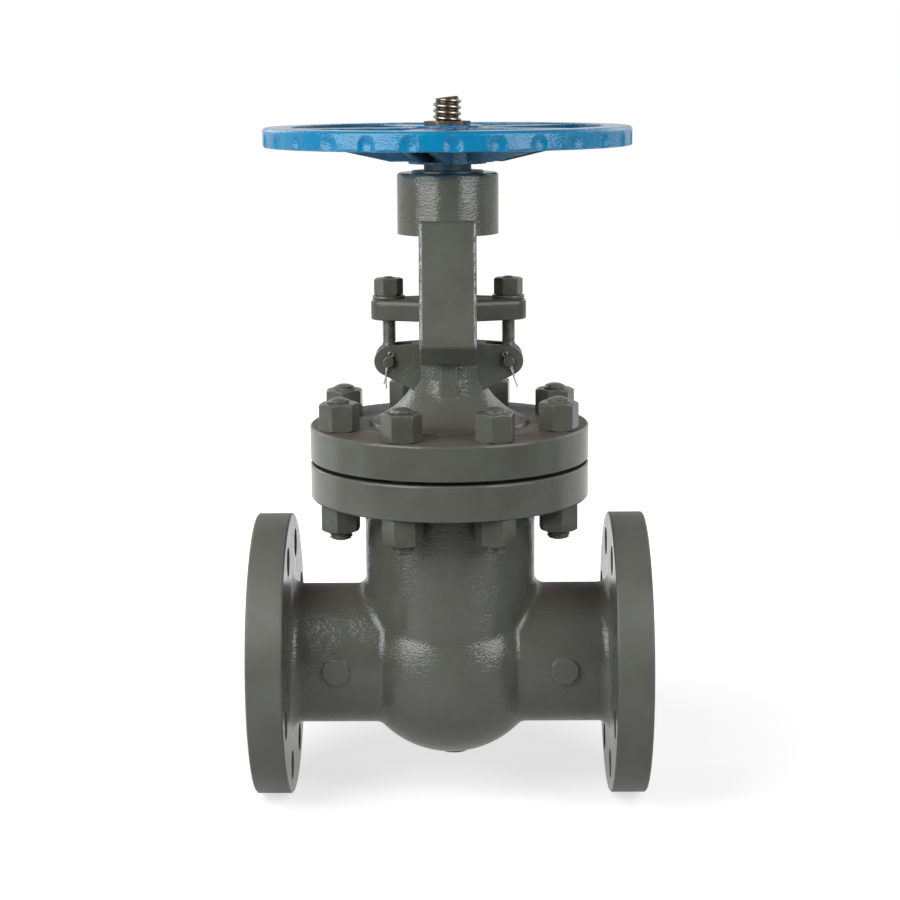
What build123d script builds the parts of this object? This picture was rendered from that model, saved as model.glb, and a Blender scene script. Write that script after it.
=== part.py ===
"""Parallel gate valve with a rising stem, an outside screw and yoke, and a bolted bonnet.

The origin is the centre of the left end flange's raised face. +X runs along the bore, +Z up the stem
and -Y faces the front of the valve. The gate is shut.
"""

from build123d import *
import math
import os

os.makedirs("parts", exist_ok=True)

# Line size and end flanges
face_to_face = 350.0
bore_radius = 50.0
end_flange_radius = 125.0
end_flange_rim = 31.0
raised_face_inset = 19.0
raised_face_height = 3.0
end_bolt_inset = 25.0
end_bolt_hole_radius = 13.0
end_bolt_count = 8
end_flange_edge = 1.2
neck_wall = 12.0
neck_flare = 10.0
neck_boss_radius = 11.75
neck_boss_offset = 99.7
neck_boss_height = 2.5

# Body barrel and belly
barrel_half_width = 75.0
barrel_depth_spare = 5.0
barrel_front_flat = 4.0
belly_bulge = 6.0
belly_drop = 3.0
body_wall = 13.0
crotch_fillet = 10.0
barrel_top_fillet = 4.0
drain_boss_radius = 13.0
drain_boss_shift = 2.5
drain_boss_height = 1.6

# Bonnet joint
body_flange_bottom = 145.0
body_flange_thickness = 31.0
gasket_thickness = 2.7
gasket_edge = 1.0
bonnet_flange_thickness = 30.3
bonnet_flange_edge = 1.2
stud_offset = 22.0
stud_inset = 20.0
stud_count = 8
stud_radius = 10.0
stud_hole_clearance = 1.0
stud_end_upper = 27.0
stud_end_lower = 32.5
stud_end_dome = 2.0
stud_nut_flats = 30.5
stud_nut_height = 24.0
nut_bevel_angle = 30.0
nut_corner_spare = 0.3

# Gate and seats
seat_ring_width = 10.0
seat_ring_height = 11.8
seat_boss_spare = 1.0
seat_spigot_width = 6.0
seat_spigot_depth = 6.0
seat_gap = 0.2
gate_overlap = 5.0
gate_edge = 1.0
gate_half_thickness = 23.0
gate_plate_thickness = 14.0
gate_hub_radius = 14.7
gate_hub_height = 5.0
spreader_radius = 42.0
spreader_block_width = 44.0
spreader_top = 72.0
gate_fit_clearance = 0.3
stem_head_width = 28.0
stem_head_bottom = 48.0
stem_head_height = 12.0
gate_travel_spare = 5.0

# Stem
stem_radius = 12.0
stem_stick_out = 25.0
stem_top_chamfer = 1.5
backseat_collar_radius = 17.0
backseat_collar_bottom = 78.0
backseat_collar_height = 8.0
backseat_gap = 3.0
stem_running_gap = 0.3

# Bonnet bell, stuffing box and yoke
bell_foot_width = 10.0
bell_foot_height = 3.5
bell_shoulder_inset = 22.3
bell_shoulder_height = 15.0
bell_throat_height = 40.0
box_wall = 8.5
box_height = 71.0
bonnet_mouth_step = 2.0
backseat_width = 5.0
packing_radius = 20.0
packing_chamber_depth = 48.0
packing_depth = 30.0
yoke_arm_width = 49.0
yoke_arm_thickness = 16.0
yoke_ledge_step = 3.3
yoke_ledge_rise = 13.3
yoke_lean = 15.0
yoke_knee_rise = 10.0
yoke_heel_rise = 3.0
yoke_root_drop = 15.0
yoke_root_inset = 18.0
yoke_arm_root = 4.0
yoke_hub_overlap = 8.0
yoke_edge_fillet = 3.5
yoke_knee_fillet = 12.0
yoke_heel_fillet = 8.0
rib_width = 16.5
rib_depth = 7.5
rib_foot_drop = 52.0
rib_toe = 8.0
rib_fillet = 2.5
hub_radius = 43.7
yoke_window_height = 94.7
hub_height = 52.3
hub_edge_fillet = 3.0

# Gland and eye bolts
gland_gap = 20.3
gland_thickness = 18.4
gland_end_spare = 2.0
gland_end_radius = 13.5
gland_half_depth = 30.0
gland_edge_fillet = 4.0
gland_foot_fillet = 1.5
gland_clearance = 0.15
eye_bolt_offset = 23.5
eye_bolt_radius = 6.0
eye_bolt_hole_clearance = 1.0
eye_bolt_stick_out = 1.5
eye_radius = 11.0
eye_width = 15.6
ear_radius = 12.7
ear_width = 32.0
ear_slot_side_gap = 0.3
ear_slot_land = 3.5
ear_root_drop = 40.0
ear_root_depth = 2.5
ear_overlap = 6.5
pin_radius = 5.0
pin_drop = 14.7
pin_chamfer = 0.6
eye_bolt_chamfer = 1.0
pin_clearance = 0.15
pin_stick_out = 5.0
gland_washer_radius = 14.0
gland_washer_thickness = 2.5
gland_nut_flats = 22.0
gland_nut_height = 15.0
gland_nut_turn = 8.0

# Handwheel and yoke nut
cap_radius = 31.0
cap_thickness = 1.5
yoke_nut_neck_radius = 20.4
yoke_nut_neck_rise = 7.5
yoke_nut_foot_gap = 1.0
yoke_nut_end_step = 1.0
yoke_nut_flange_radius = 27.6
yoke_nut_flange_rise = 11.3
yoke_nut_bore_gap = 0.3
hub_lip_radius = 21.0
journal_gap = 0.08
wheel_drive_flats = 30.0
wheel_drive_gap = 0.1
wheel_radius = 158.0
wheel_lift = 22.5
wheel_rim_depth = 16.5
wheel_rim_width = 24.0
wheel_wall = 5.0
wheel_rim_edge = 3.0
wheel_rim_foot_edge = 2.0
wheel_inner_lip = 10.0
finger_scoop_count = 28
finger_scoop_phase = 2.3
finger_scoop_radius = 14.0
finger_scoop_depth = 2.5
finger_scoop_rise = 5.5
wheel_spoke_count = 5
wheel_spoke_phase = -104.0
wheel_spoke_width = 25.0
wheel_spoke_wall = 4.0
wheel_spoke_root_lift = 9.7
wheel_spoke_sink = 1.0
wheel_spoke_overlap = 2.0
wheel_spoke_root_reach = 49.5
wheel_spoke_tip_lift = 6.5
wheel_hub_radius = 33.6
wheel_hub_waist = 30.0
wheel_hub_rise = 1.0
lock_nut_radius = 20.0
lock_nut_height = 3.4

# Places worked out from the sizes
stem_x = face_to_face / 2
end_bolt_circle_radius = end_flange_radius - end_bolt_inset
raised_face_radius = end_bolt_circle_radius - raised_face_inset
flange_back = raised_face_height + end_flange_rim
neck_radius = bore_radius + neck_wall
barrel_half_depth = barrel_half_width + barrel_depth_spare
barrel_front_radius = barrel_half_width - barrel_front_flat
belly_radius = barrel_half_depth + belly_bulge
chamber_half_width = barrel_half_width - body_wall
chamber_half_depth = barrel_half_depth - body_wall
body_flange_top = body_flange_bottom + body_flange_thickness
bonnet_flange_bottom = body_flange_top + gasket_thickness
bonnet_flange_top = bonnet_flange_bottom + bonnet_flange_thickness
stud_circle_radius = barrel_half_depth + stud_offset
bonnet_flange_radius = stud_circle_radius + stud_inset
stud_angle_step = 360 / stud_count
stud_first_angle = stud_angle_step / 2

seat_ring_radius = bore_radius + seat_ring_width
seat_boss_radius = seat_ring_radius + seat_boss_spare
seat_spigot_radius = bore_radius + seat_spigot_width
seat_face = gate_half_thickness + seat_gap
seat_ring_back = seat_face + seat_ring_height
gate_radius = bore_radius + gate_overlap
gate_travel = 2 * bore_radius + gate_travel_spare

bonnet_mouth_radius = chamber_half_width - bonnet_mouth_step
bell_foot_radius = bonnet_mouth_radius + bell_foot_width
bell_shoulder_radius = bell_foot_radius - bell_shoulder_inset
bell_foot_top = bonnet_flange_top + bell_foot_height
backseat_radius = backseat_collar_radius + backseat_width
backseat_height = backseat_collar_bottom + backseat_collar_height + gate_travel + backseat_gap
box_radius = packing_radius + box_wall
box_top = bonnet_flange_top + box_height
packing_floor = box_top - packing_chamber_depth
packing_top = packing_floor + packing_depth
hub_bottom = box_top + yoke_window_height
hub_top = hub_bottom + hub_height
yoke_top_ledge = hub_bottom + yoke_ledge_rise
yoke_top_face = hub_radius + yoke_ledge_step
yoke_knee_face = yoke_top_face + yoke_lean
yoke_knee = box_top + yoke_knee_rise
yoke_heel = box_top + yoke_heel_rise
yoke_root = box_top - yoke_root_drop
yoke_root_reach = yoke_knee_face - yoke_root_inset
rib_reach = box_radius + rib_depth
rib_foot = box_top - rib_foot_drop

gland_bottom = box_top + gland_gap
gland_top = gland_bottom + gland_thickness
eye_bolt_spread = box_radius + eye_bolt_offset
gland_half_length = eye_bolt_spread + gland_end_radius + gland_end_spare
eye_bolt_top = gland_top + gland_washer_thickness + gland_nut_height + eye_bolt_stick_out
ear_slot_reach = box_radius + ear_slot_land
ear_root_bottom = box_top - ear_root_drop
ear_root_reach = box_radius + ear_root_depth
ear_core = box_radius - ear_overlap
pin_height = box_top - pin_drop

yoke_nut_flange_bottom = hub_bottom + yoke_nut_flange_rise
yoke_nut_neck_top = hub_top + yoke_nut_neck_rise
wheel_bottom = hub_top + wheel_lift
wheel_top = wheel_bottom + wheel_rim_depth
wheel_hub_top = wheel_top + wheel_hub_rise
wheel_spoke_low = hub_top + wheel_spoke_root_lift
wheel_spoke_rim_low = wheel_bottom + wheel_spoke_tip_lift
wheel_spoke_top = wheel_top - wheel_spoke_sink
stem_top = wheel_hub_top + stem_stick_out

stem_plane = Plane(origin=(stem_x, 0, 0))
stem_side_plane = Plane(origin=(stem_x, 0, 0), x_dir=(1, 0, 0), z_dir=(0, -1, 0))
stem_axis = Axis((stem_x, 0, 0), (0, 0, 1))
bore_axis = Axis((0, 0, 0), (1, 0, 0))
middle_plane = Plane(origin=(stem_x, 0, 0), x_dir=(0, 1, 0), z_dir=(1, 0, 0))


def save(piece, name):
    """Label a finished piece and write it to its own file."""
    piece.part.label = name
    export_step(piece.part, f"parts/{name}.step")


def crossing_edges(shape):
    """Edges where the necks, the belly and the barrel run into each other."""
    reach = barrel_half_width + neck_flare
    return [
        edge
        for edge in shape.edges().filter_by(GeomType.BSPLINE)
        if abs(edge.center().X - stem_x) < reach and edge.center().Z < body_flange_bottom
    ]


def oval(half_width, half_depth, front_radius):
    """Sketch bounded by four tangent arcs, deeper front to back than it is wide."""
    front_centre = half_depth - front_radius
    spare = half_width - front_radius
    side_centre = (front_centre**2 - spare**2) / (2 * spare)
    corner = Vector(side_centre, front_centre).normalized() * front_radius + Vector(0, front_centre)
    with BuildSketch() as shape:
        with BuildLine():
            ThreePointArc((corner.X, corner.Y), (0, half_depth), (-corner.X, corner.Y))
            ThreePointArc((-corner.X, corner.Y), (-half_width, 0), (-corner.X, -corner.Y))
            ThreePointArc((-corner.X, -corner.Y), (0, -half_depth), (corner.X, -corner.Y))
            ThreePointArc((corner.X, -corner.Y), (half_width, 0), (corner.X, corner.Y))
        make_face()
    return shape.sketch


def hex_nut(plane, flats, height, hole_radius, turn=0):
    """Hexagon nut standing on a plane, with its corners turned off at both ends."""
    corner_radius = flats / math.sqrt(3) + nut_corner_spare
    turned_radius = flats / 2 - nut_corner_spare
    bevel = (corner_radius - turned_radius) * math.tan(math.radians(nut_bevel_angle))
    side_plane = Plane(origin=plane.origin, x_dir=plane.x_dir, z_dir=-plane.y_dir)
    with BuildPart() as nut:
        with BuildSketch(plane):
            RegularPolygon(flats / 2, 6, major_radius=False, rotation=turn)
        extrude(amount=height)
        with BuildSketch(side_plane):
            with BuildLine():
                Polyline(
                    (hole_radius, 0),
                    (turned_radius, 0),
                    (corner_radius, bevel),
                    (corner_radius, height - bevel),
                    (turned_radius, height),
                    (hole_radius, height),
                    close=True,
                )
            make_face()
        revolve(axis=Axis(plane.origin, plane.z_dir), mode=Mode.INTERSECT)
    return nut


# Valve body: two flanged necks, a round belly and an oval barrel up to the bonnet flange
with BuildPart() as body:
    with BuildSketch(Plane.XZ) as neck_profile:
        with BuildLine():
            Polyline(
                (0, 0),
                (0, raised_face_radius),
                (raised_face_height, raised_face_radius),
                (raised_face_height, end_flange_radius),
                (flange_back, end_flange_radius),
                (flange_back, neck_radius),
                (stem_x, neck_radius),
                (stem_x, 0),
                close=True,
            )
        make_face()
        flange_corners = neck_profile.vertices().filter_by_position(Axis.X, 1, flange_back + 1)
        chamfer(flange_corners.group_by(Axis.Y)[-1], end_flange_edge)
        fillet(neck_profile.vertices().group_by(Axis.X)[-2].sort_by(Axis.Y)[0], neck_flare)
    revolve(axis=bore_axis)
    mirror(about=middle_plane)
    with Locations((stem_x, 0, -belly_drop)):
        Sphere(belly_radius)
    with BuildSketch(stem_plane):
        add(oval(barrel_half_width, barrel_half_depth, barrel_front_radius))
    extrude(amount=body_flange_bottom)
    fillet(crossing_edges(body.part), crotch_fillet)
    with BuildSketch(stem_plane.offset(body_flange_bottom)):
        Circle(bonnet_flange_radius)
    extrude(amount=body_flange_thickness)
    rim_edges = body.edges().filter_by(GeomType.CIRCLE)
    rim_edges = rim_edges.filter_by_position(Axis.Z, body_flange_bottom, body_flange_top)
    chamfer([e for e in rim_edges if abs(e.radius - bonnet_flange_radius) < 0.01], bonnet_flange_edge)
    under_level = body_flange_bottom
    under_flange = body.edges().filter_by_position(Axis.Z, under_level - 0.01, under_level + 0.01)
    fillet([e for e in under_flange if e.radius < barrel_half_depth + neck_flare], barrel_top_fillet)
    # Low round bosses on the front of each neck and under the belly
    with BuildSketch(Plane.XZ.offset(neck_radius + neck_boss_height)):
        with Locations((stem_x - neck_boss_offset, 0), (stem_x + neck_boss_offset, 0)):
            Circle(neck_boss_radius)
    extrude(amount=-neck_boss_height - body_wall / 2)
    with BuildSketch(stem_plane.offset(-belly_drop - belly_radius - drain_boss_height)):
        with Locations((drain_boss_shift, 0)):
            Circle(drain_boss_radius)
    extrude(amount=drain_boss_height + body_wall / 2)
    # Hollow barrel and belly with room for the seat rings, and seat bosses left standing round the bore
    with Locations((stem_x, 0, -belly_drop)):
        Sphere(belly_radius - body_wall, mode=Mode.SUBTRACT)
    with BuildSketch(stem_plane):
        add(oval(chamber_half_width, chamber_half_depth, barrel_front_radius - body_wall))
    extrude(amount=body_flange_top, mode=Mode.SUBTRACT)
    with BuildSketch(middle_plane):
        Circle(seat_boss_radius)
    extrude(amount=seat_ring_back, both=True, mode=Mode.SUBTRACT)
    with BuildSketch(middle_plane.offset(seat_ring_back)):
        Circle(seat_boss_radius)
    extrude(amount=belly_radius - seat_ring_back - body_wall / 2)
    with BuildSketch(middle_plane.offset(-seat_ring_back)):
        Circle(seat_boss_radius)
    extrude(amount=-(belly_radius - seat_ring_back - body_wall / 2))
    with BuildSketch(Plane.YZ):
        Circle(bore_radius)
    extrude(amount=face_to_face, mode=Mode.SUBTRACT)
    with BuildSketch(middle_plane):
        Circle(seat_spigot_radius)
    extrude(amount=seat_ring_back + seat_spigot_depth, both=True, mode=Mode.SUBTRACT)
    # Bolt holes through both end flanges, straddling the centre lines, and the stud holes
    for flange_plane in (Plane.YZ, Plane.YZ.offset(face_to_face - flange_back)):
        with BuildSketch(flange_plane):
            with PolarLocations(end_bolt_circle_radius, end_bolt_count, 180 / end_bolt_count):
                Circle(end_bolt_hole_radius)
        extrude(amount=flange_back, mode=Mode.SUBTRACT)
    with BuildSketch(stem_plane.offset(body_flange_bottom)):
        with PolarLocations(stud_circle_radius, stud_count, stud_first_angle):
            Circle(stud_radius + stud_hole_clearance)
    extrude(amount=body_flange_thickness, mode=Mode.SUBTRACT)
save(body, "body")

# Seat rings, pressed into the bosses with their faces to the gate
for side, name in ((-1, "seat_ring_left"), (1, "seat_ring_right")):
    with BuildPart() as seat_ring:
        with BuildSketch(middle_plane.offset(side * seat_face)):
            Circle(seat_ring_radius)
            Circle(bore_radius, mode=Mode.SUBTRACT)
        extrude(amount=side * seat_ring_height)
        with BuildSketch(middle_plane.offset(side * seat_ring_back)):
            Circle(seat_spigot_radius)
            Circle(bore_radius, mode=Mode.SUBTRACT)
        extrude(amount=side * seat_spigot_depth)
    save(seat_ring, name)

# Two parallel gate discs, each with a hub on its inner face
spreader_half_thickness = gate_half_thickness - gate_plate_thickness
for side, name in ((-1, "gate_disc_left"), (1, "gate_disc_right")):
    with BuildPart() as gate_disc:
        with BuildSketch(middle_plane.offset(side * spreader_half_thickness)):
            Circle(gate_radius)
        extrude(amount=side * gate_plate_thickness)
        chamfer(gate_disc.edges().filter_by(GeomType.CIRCLE), gate_edge)
        with BuildSketch(middle_plane.offset(side * spreader_half_thickness)):
            Circle(gate_hub_radius)
        extrude(amount=-side * gate_hub_height)
    save(gate_disc, name)

# Spreader between the discs, with the slot that takes the stem's head
with BuildPart() as gate_spreader:
    with BuildSketch(middle_plane.offset(-spreader_half_thickness)):
        Circle(spreader_radius)
        with BuildLine():
            Polyline(
                (-spreader_block_width / 2, 0),
                (-spreader_block_width / 2, spreader_top),
                (spreader_block_width / 2, spreader_top),
                (spreader_block_width / 2, 0),
                close=True,
            )
        make_face()
        Circle(gate_hub_radius + gate_fit_clearance, mode=Mode.SUBTRACT)
        slot_half_width = stem_head_width / 2 + gate_fit_clearance
        neck_half_width = stem_radius + gate_fit_clearance
        slot_bottom = stem_head_bottom - gate_fit_clearance
        slot_top = stem_head_bottom + stem_head_height + gate_fit_clearance
        with BuildLine():
            Polyline(
                (-slot_half_width, slot_bottom),
                (-slot_half_width, slot_top),
                (-neck_half_width, slot_top),
                (-neck_half_width, spreader_top),
                (neck_half_width, spreader_top),
                (neck_half_width, slot_top),
                (slot_half_width, slot_top),
                (slot_half_width, slot_bottom),
                close=True,
            )
        make_face(mode=Mode.SUBTRACT)
    extrude(amount=2 * spreader_half_thickness)
save(gate_spreader, "gate_spreader")

# Stem: square head in the spreader, backseat collar and a plain rod for the screw
with BuildPart() as stem:
    with BuildSketch(stem_plane.offset(stem_head_bottom)):
        Rectangle(2 * spreader_half_thickness - gate_fit_clearance, stem_head_width)
    extrude(amount=stem_head_height)
    with BuildSketch(stem_side_plane):
        with BuildLine():
            Polyline(
                (0, stem_head_bottom),
                (spreader_half_thickness - gate_fit_clearance, stem_head_bottom),
                (spreader_half_thickness - gate_fit_clearance, spreader_top + gate_fit_clearance),
                (stem_radius, spreader_top + gate_fit_clearance),
                (stem_radius, backseat_collar_bottom),
                (backseat_collar_radius, backseat_collar_bottom),
                (backseat_collar_radius, backseat_collar_bottom + backseat_collar_height / 2),
                (stem_radius, backseat_collar_bottom + backseat_collar_height),
                (stem_radius, stem_top - stem_top_chamfer),
                (stem_radius - stem_top_chamfer, stem_top),
                (0, stem_top),
                close=True,
            )
        make_face()
    revolve(axis=stem_axis)
save(stem, "stem")

# Gasket, the dark line between the two middle flanges
with BuildPart() as bonnet_gasket:
    with BuildSketch(stem_plane.offset(body_flange_top)):
        Circle(stud_circle_radius - stud_radius - stud_hole_clearance - gasket_edge)
        Circle(chamber_half_depth, mode=Mode.SUBTRACT)
    extrude(amount=gasket_thickness)
save(bonnet_gasket, "bonnet_gasket")

# One yoke arm, in front of the stem: a flat bar that leans out from the hub to the knee and turns in
# under its heel to the stuffing box, with a rib below it
arm_core = packing_radius + yoke_arm_root
arm_hub_face = hub_radius - yoke_hub_overlap
arm_knee_inside = yoke_knee_face - yoke_arm_thickness
arm_top_inside = yoke_top_face - yoke_arm_thickness


def arm_edges(shape, reach, height):
    """The arm's crossways edges at a distance in front of the stem and a height."""
    across = shape.edges().filter_by(Axis.X)
    return [e for e in across if abs(e.center().Y + reach) < 0.01 and abs(e.center().Z - height) < 0.01]


with BuildPart() as yoke_arm:
    with BuildSketch(middle_plane.offset(-yoke_arm_width / 2)):
        with BuildLine():
            Polyline(
                (-arm_core, hub_top - yoke_hub_overlap),
                (-arm_hub_face, hub_top - yoke_hub_overlap),
                (-arm_hub_face, yoke_top_ledge),
                (-yoke_top_face, yoke_top_ledge),
                (-yoke_knee_face, yoke_knee),
                (-yoke_knee_face, yoke_heel),
                (-yoke_root_reach, yoke_root),
                (-arm_core, yoke_root),
                (-arm_core, box_top),
                (-arm_knee_inside, box_top),
                (-arm_knee_inside, yoke_knee),
                (-arm_top_inside, hub_bottom),
                (-arm_top_inside, hub_bottom + yoke_hub_overlap),
                (-arm_core, hub_bottom + yoke_hub_overlap),
                close=True,
            )
        make_face()
    extrude(amount=yoke_arm_width)
    heel = arm_edges(yoke_arm, yoke_knee_face, yoke_heel) + arm_edges(yoke_arm, yoke_root_reach, yoke_root)
    fillet(heel, yoke_heel_fillet)
    fillet(arm_edges(yoke_arm, yoke_top_face, yoke_top_ledge), yoke_edge_fillet)
    fillet(arm_edges(yoke_arm, yoke_knee_face, yoke_knee), yoke_knee_fillet)
    sides = yoke_arm.faces().sort_by(Axis.X)
    rim = [e for e in sides[0].edges() + sides[-1].edges() if e.center().Y < -arm_core - 1]
    underside = (yoke_root + yoke_heel) / 2 + 1
    fillet([e for e in rim if e.center().Y < 1 - yoke_top_face or e.center().Z < underside], yoke_edge_fillet)
    with BuildSketch(middle_plane.offset(-rib_width / 2)):
        with BuildLine():
            Polyline(
                (-arm_core, yoke_root + yoke_edge_fillet),
                (-rib_reach, yoke_root + yoke_edge_fillet),
                (-rib_reach, rib_foot + rib_toe),
                (-rib_reach + rib_toe, rib_foot),
                (-arm_core, rib_foot),
                close=True,
            )
        make_face()
    extrude(amount=rib_width)
    rib_front = [e for e in yoke_arm.edges().filter_by(Axis.Z) if abs(e.center().Y + rib_reach) < 0.01]
    fillet(rib_front, rib_fillet)

# Bonnet: flange, bell and stuffing box turned about the stem, with ears, ribs, yoke arms and hub
with BuildPart() as bonnet:
    with BuildSketch(stem_side_plane):
        with BuildLine():
            Polyline(
                (0, box_top),
                (0, bonnet_flange_bottom),
                (bonnet_flange_radius - bonnet_flange_edge, bonnet_flange_bottom),
                (bonnet_flange_radius, bonnet_flange_bottom + bonnet_flange_edge),
                (bonnet_flange_radius, bonnet_flange_top - bonnet_flange_edge),
                (bonnet_flange_radius - bonnet_flange_edge, bonnet_flange_top),
                (bell_foot_radius, bonnet_flange_top),
            )
            RadiusArc(
                (bell_foot_radius, bonnet_flange_top),
                (bell_foot_radius - bell_foot_height, bell_foot_top),
                -bell_foot_height,
            )
            ThreePointArc(
                (bell_foot_radius - bell_foot_height, bell_foot_top),
                (bell_shoulder_radius, bonnet_flange_top + bell_shoulder_height),
                (box_radius, bonnet_flange_top + bell_throat_height),
            )
            Polyline(
                (box_radius, bonnet_flange_top + bell_throat_height),
                (box_radius, box_top),
                (0, box_top),
            )
        make_face()
    revolve(axis=stem_axis)
    # Hub for the yoke nut
    with BuildSketch(stem_plane.offset(hub_bottom)):
        Circle(hub_radius)
    extrude(amount=hub_top - hub_bottom)
    fillet(bonnet.edges().filter_by(GeomType.CIRCLE).group_by(Axis.Z)[-1], hub_edge_fillet)
    # Yoke arms in front of and behind the stem
    add(yoke_arm.part)
    add(mirror(yoke_arm.part, about=Plane.XZ, mode=Mode.PRIVATE))
    # Ears for the eye bolts: a pair of cheeks on each side of the stuffing box
    for side in (-1, 1):
        with BuildSketch(stem_side_plane.offset(-ear_width / 2)) as ear_outline:
            with Locations((side * eye_bolt_spread, pin_height)):
                Circle(ear_radius)
            with BuildLine():
                Polyline(
                    (side * ear_core, box_top),
                    (side * ear_root_reach, ear_root_bottom),
                    (side * ear_core, ear_root_bottom),
                    close=True,
                )
            make_face()
            make_hull()
        extrude(amount=ear_width)
        with BuildSketch(stem_side_plane.offset(-eye_width / 2 - ear_slot_side_gap)):
            with Locations((side * (ear_slot_reach + 2 * ear_radius), pin_height)):
                Rectangle(4 * ear_radius, 4 * ear_radius)
        extrude(amount=eye_width + 2 * ear_slot_side_gap, mode=Mode.SUBTRACT)
        with BuildSketch(stem_side_plane.offset(-ear_width / 2)):
            with Locations((side * eye_bolt_spread, pin_height)):
                Circle(pin_radius + pin_clearance)
        extrude(amount=ear_width, mode=Mode.SUBTRACT)
    # Hollow mouth, backseat, stem hole and packing chamber
    with BuildSketch(stem_side_plane):
        with BuildLine():
            Polyline(
                (0, bonnet_flange_bottom),
                (bonnet_mouth_radius, bonnet_flange_bottom),
                (backseat_radius, backseat_height),
                (stem_radius + stem_running_gap, backseat_height),
                (stem_radius + stem_running_gap, packing_floor),
                (packing_radius, packing_floor),
                (packing_radius, box_top),
                (0, box_top),
                close=True,
            )
        make_face()
    revolve(axis=stem_axis, mode=Mode.SUBTRACT)
    # Bore of the hub, with a lip at the bottom that carries the yoke nut
    with BuildSketch(stem_side_plane):
        with BuildLine():
            Polyline(
                (0, hub_bottom),
                (hub_lip_radius, hub_bottom),
                (hub_lip_radius, yoke_nut_flange_bottom),
                (yoke_nut_flange_radius + yoke_nut_bore_gap, yoke_nut_flange_bottom),
                (yoke_nut_flange_radius + yoke_nut_bore_gap, hub_top),
                (0, hub_top),
                close=True,
            )
        make_face()
    revolve(axis=stem_axis, mode=Mode.SUBTRACT)
    with BuildSketch(stem_plane.offset(bonnet_flange_bottom)):
        with PolarLocations(stud_circle_radius, stud_count, stud_first_angle):
            Circle(stud_radius + stud_hole_clearance)
    extrude(amount=bonnet_flange_thickness, mode=Mode.SUBTRACT)
save(bonnet, "bonnet")

# Studs through the two middle flanges, with a nut at each end
nut_turns = (8, 24, 16, 27, 12, 3, 20, 10)
for number in range(stud_count):
    angle = math.radians(stud_first_angle + number * stud_angle_step)
    stud_x = stem_x + stud_circle_radius * math.cos(angle)
    stud_y = stud_circle_radius * math.sin(angle)
    stud_bottom = body_flange_bottom - stud_end_lower
    with BuildPart() as stud:
        with BuildSketch(Plane(origin=(stud_x, stud_y, stud_bottom))):
            Circle(stud_radius)
        extrude(amount=bonnet_flange_top + stud_end_upper - stud_bottom)
        chamfer(stud.edges().filter_by(GeomType.CIRCLE), stud_end_dome)
    save(stud, f"bonnet_stud_{number + 1}")
    nut_plane = Plane(origin=(stud_x, stud_y, bonnet_flange_top))
    nut = hex_nut(nut_plane, stud_nut_flats, stud_nut_height, stud_radius, nut_turns[number])
    save(nut, f"bonnet_nut_{number + 1}")

one_nut = hex_nut(Plane.XY, stud_nut_flats, stud_nut_height, stud_radius)
with BuildPart() as lower_nuts:
    with Locations((stem_x, 0, body_flange_bottom - stud_nut_height)):
        with PolarLocations(stud_circle_radius, stud_count, stud_first_angle):
            add(one_nut.part)
save(lower_nuts, "bonnet_lower_nuts")

# Packing rings, gland bush and gland flange round the stem
with BuildPart() as packing_rings:
    with BuildSketch(stem_plane.offset(packing_floor)):
        Circle(packing_radius - gland_clearance)
        Circle(stem_radius + gland_clearance, mode=Mode.SUBTRACT)
    extrude(amount=packing_depth)
save(packing_rings, "packing_rings")

with BuildPart() as gland_bush:
    with BuildSketch(stem_plane.offset(packing_top)):
        Circle(packing_radius - gland_clearance)
        Circle(stem_radius + stem_running_gap, mode=Mode.SUBTRACT)
    extrude(amount=gland_bottom - packing_top)
save(gland_bush, "gland_bush")

with BuildPart() as gland_flange:
    with BuildSketch(stem_plane.offset(gland_bottom)) as gland_outline:
        with Locations((gland_end_radius - gland_half_length, 0), (gland_half_length - gland_end_radius, 0)):
            Circle(gland_end_radius)
        Circle(gland_half_depth)
        make_hull()
    extrude(amount=gland_thickness)
    fillet(gland_flange.faces().sort_by(Axis.Z)[-1].edges(), gland_edge_fillet)
    fillet(gland_flange.faces().sort_by(Axis.Z)[0].edges(), gland_foot_fillet)
    with BuildSketch(stem_plane.offset(gland_bottom)):
        Circle(stem_radius + stem_running_gap)
        with Locations((-eye_bolt_spread, 0), (eye_bolt_spread, 0)):
            Circle(eye_bolt_radius + eye_bolt_hole_clearance)
    extrude(amount=gland_thickness, mode=Mode.SUBTRACT)
save(gland_flange, "gland_flange")

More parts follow.
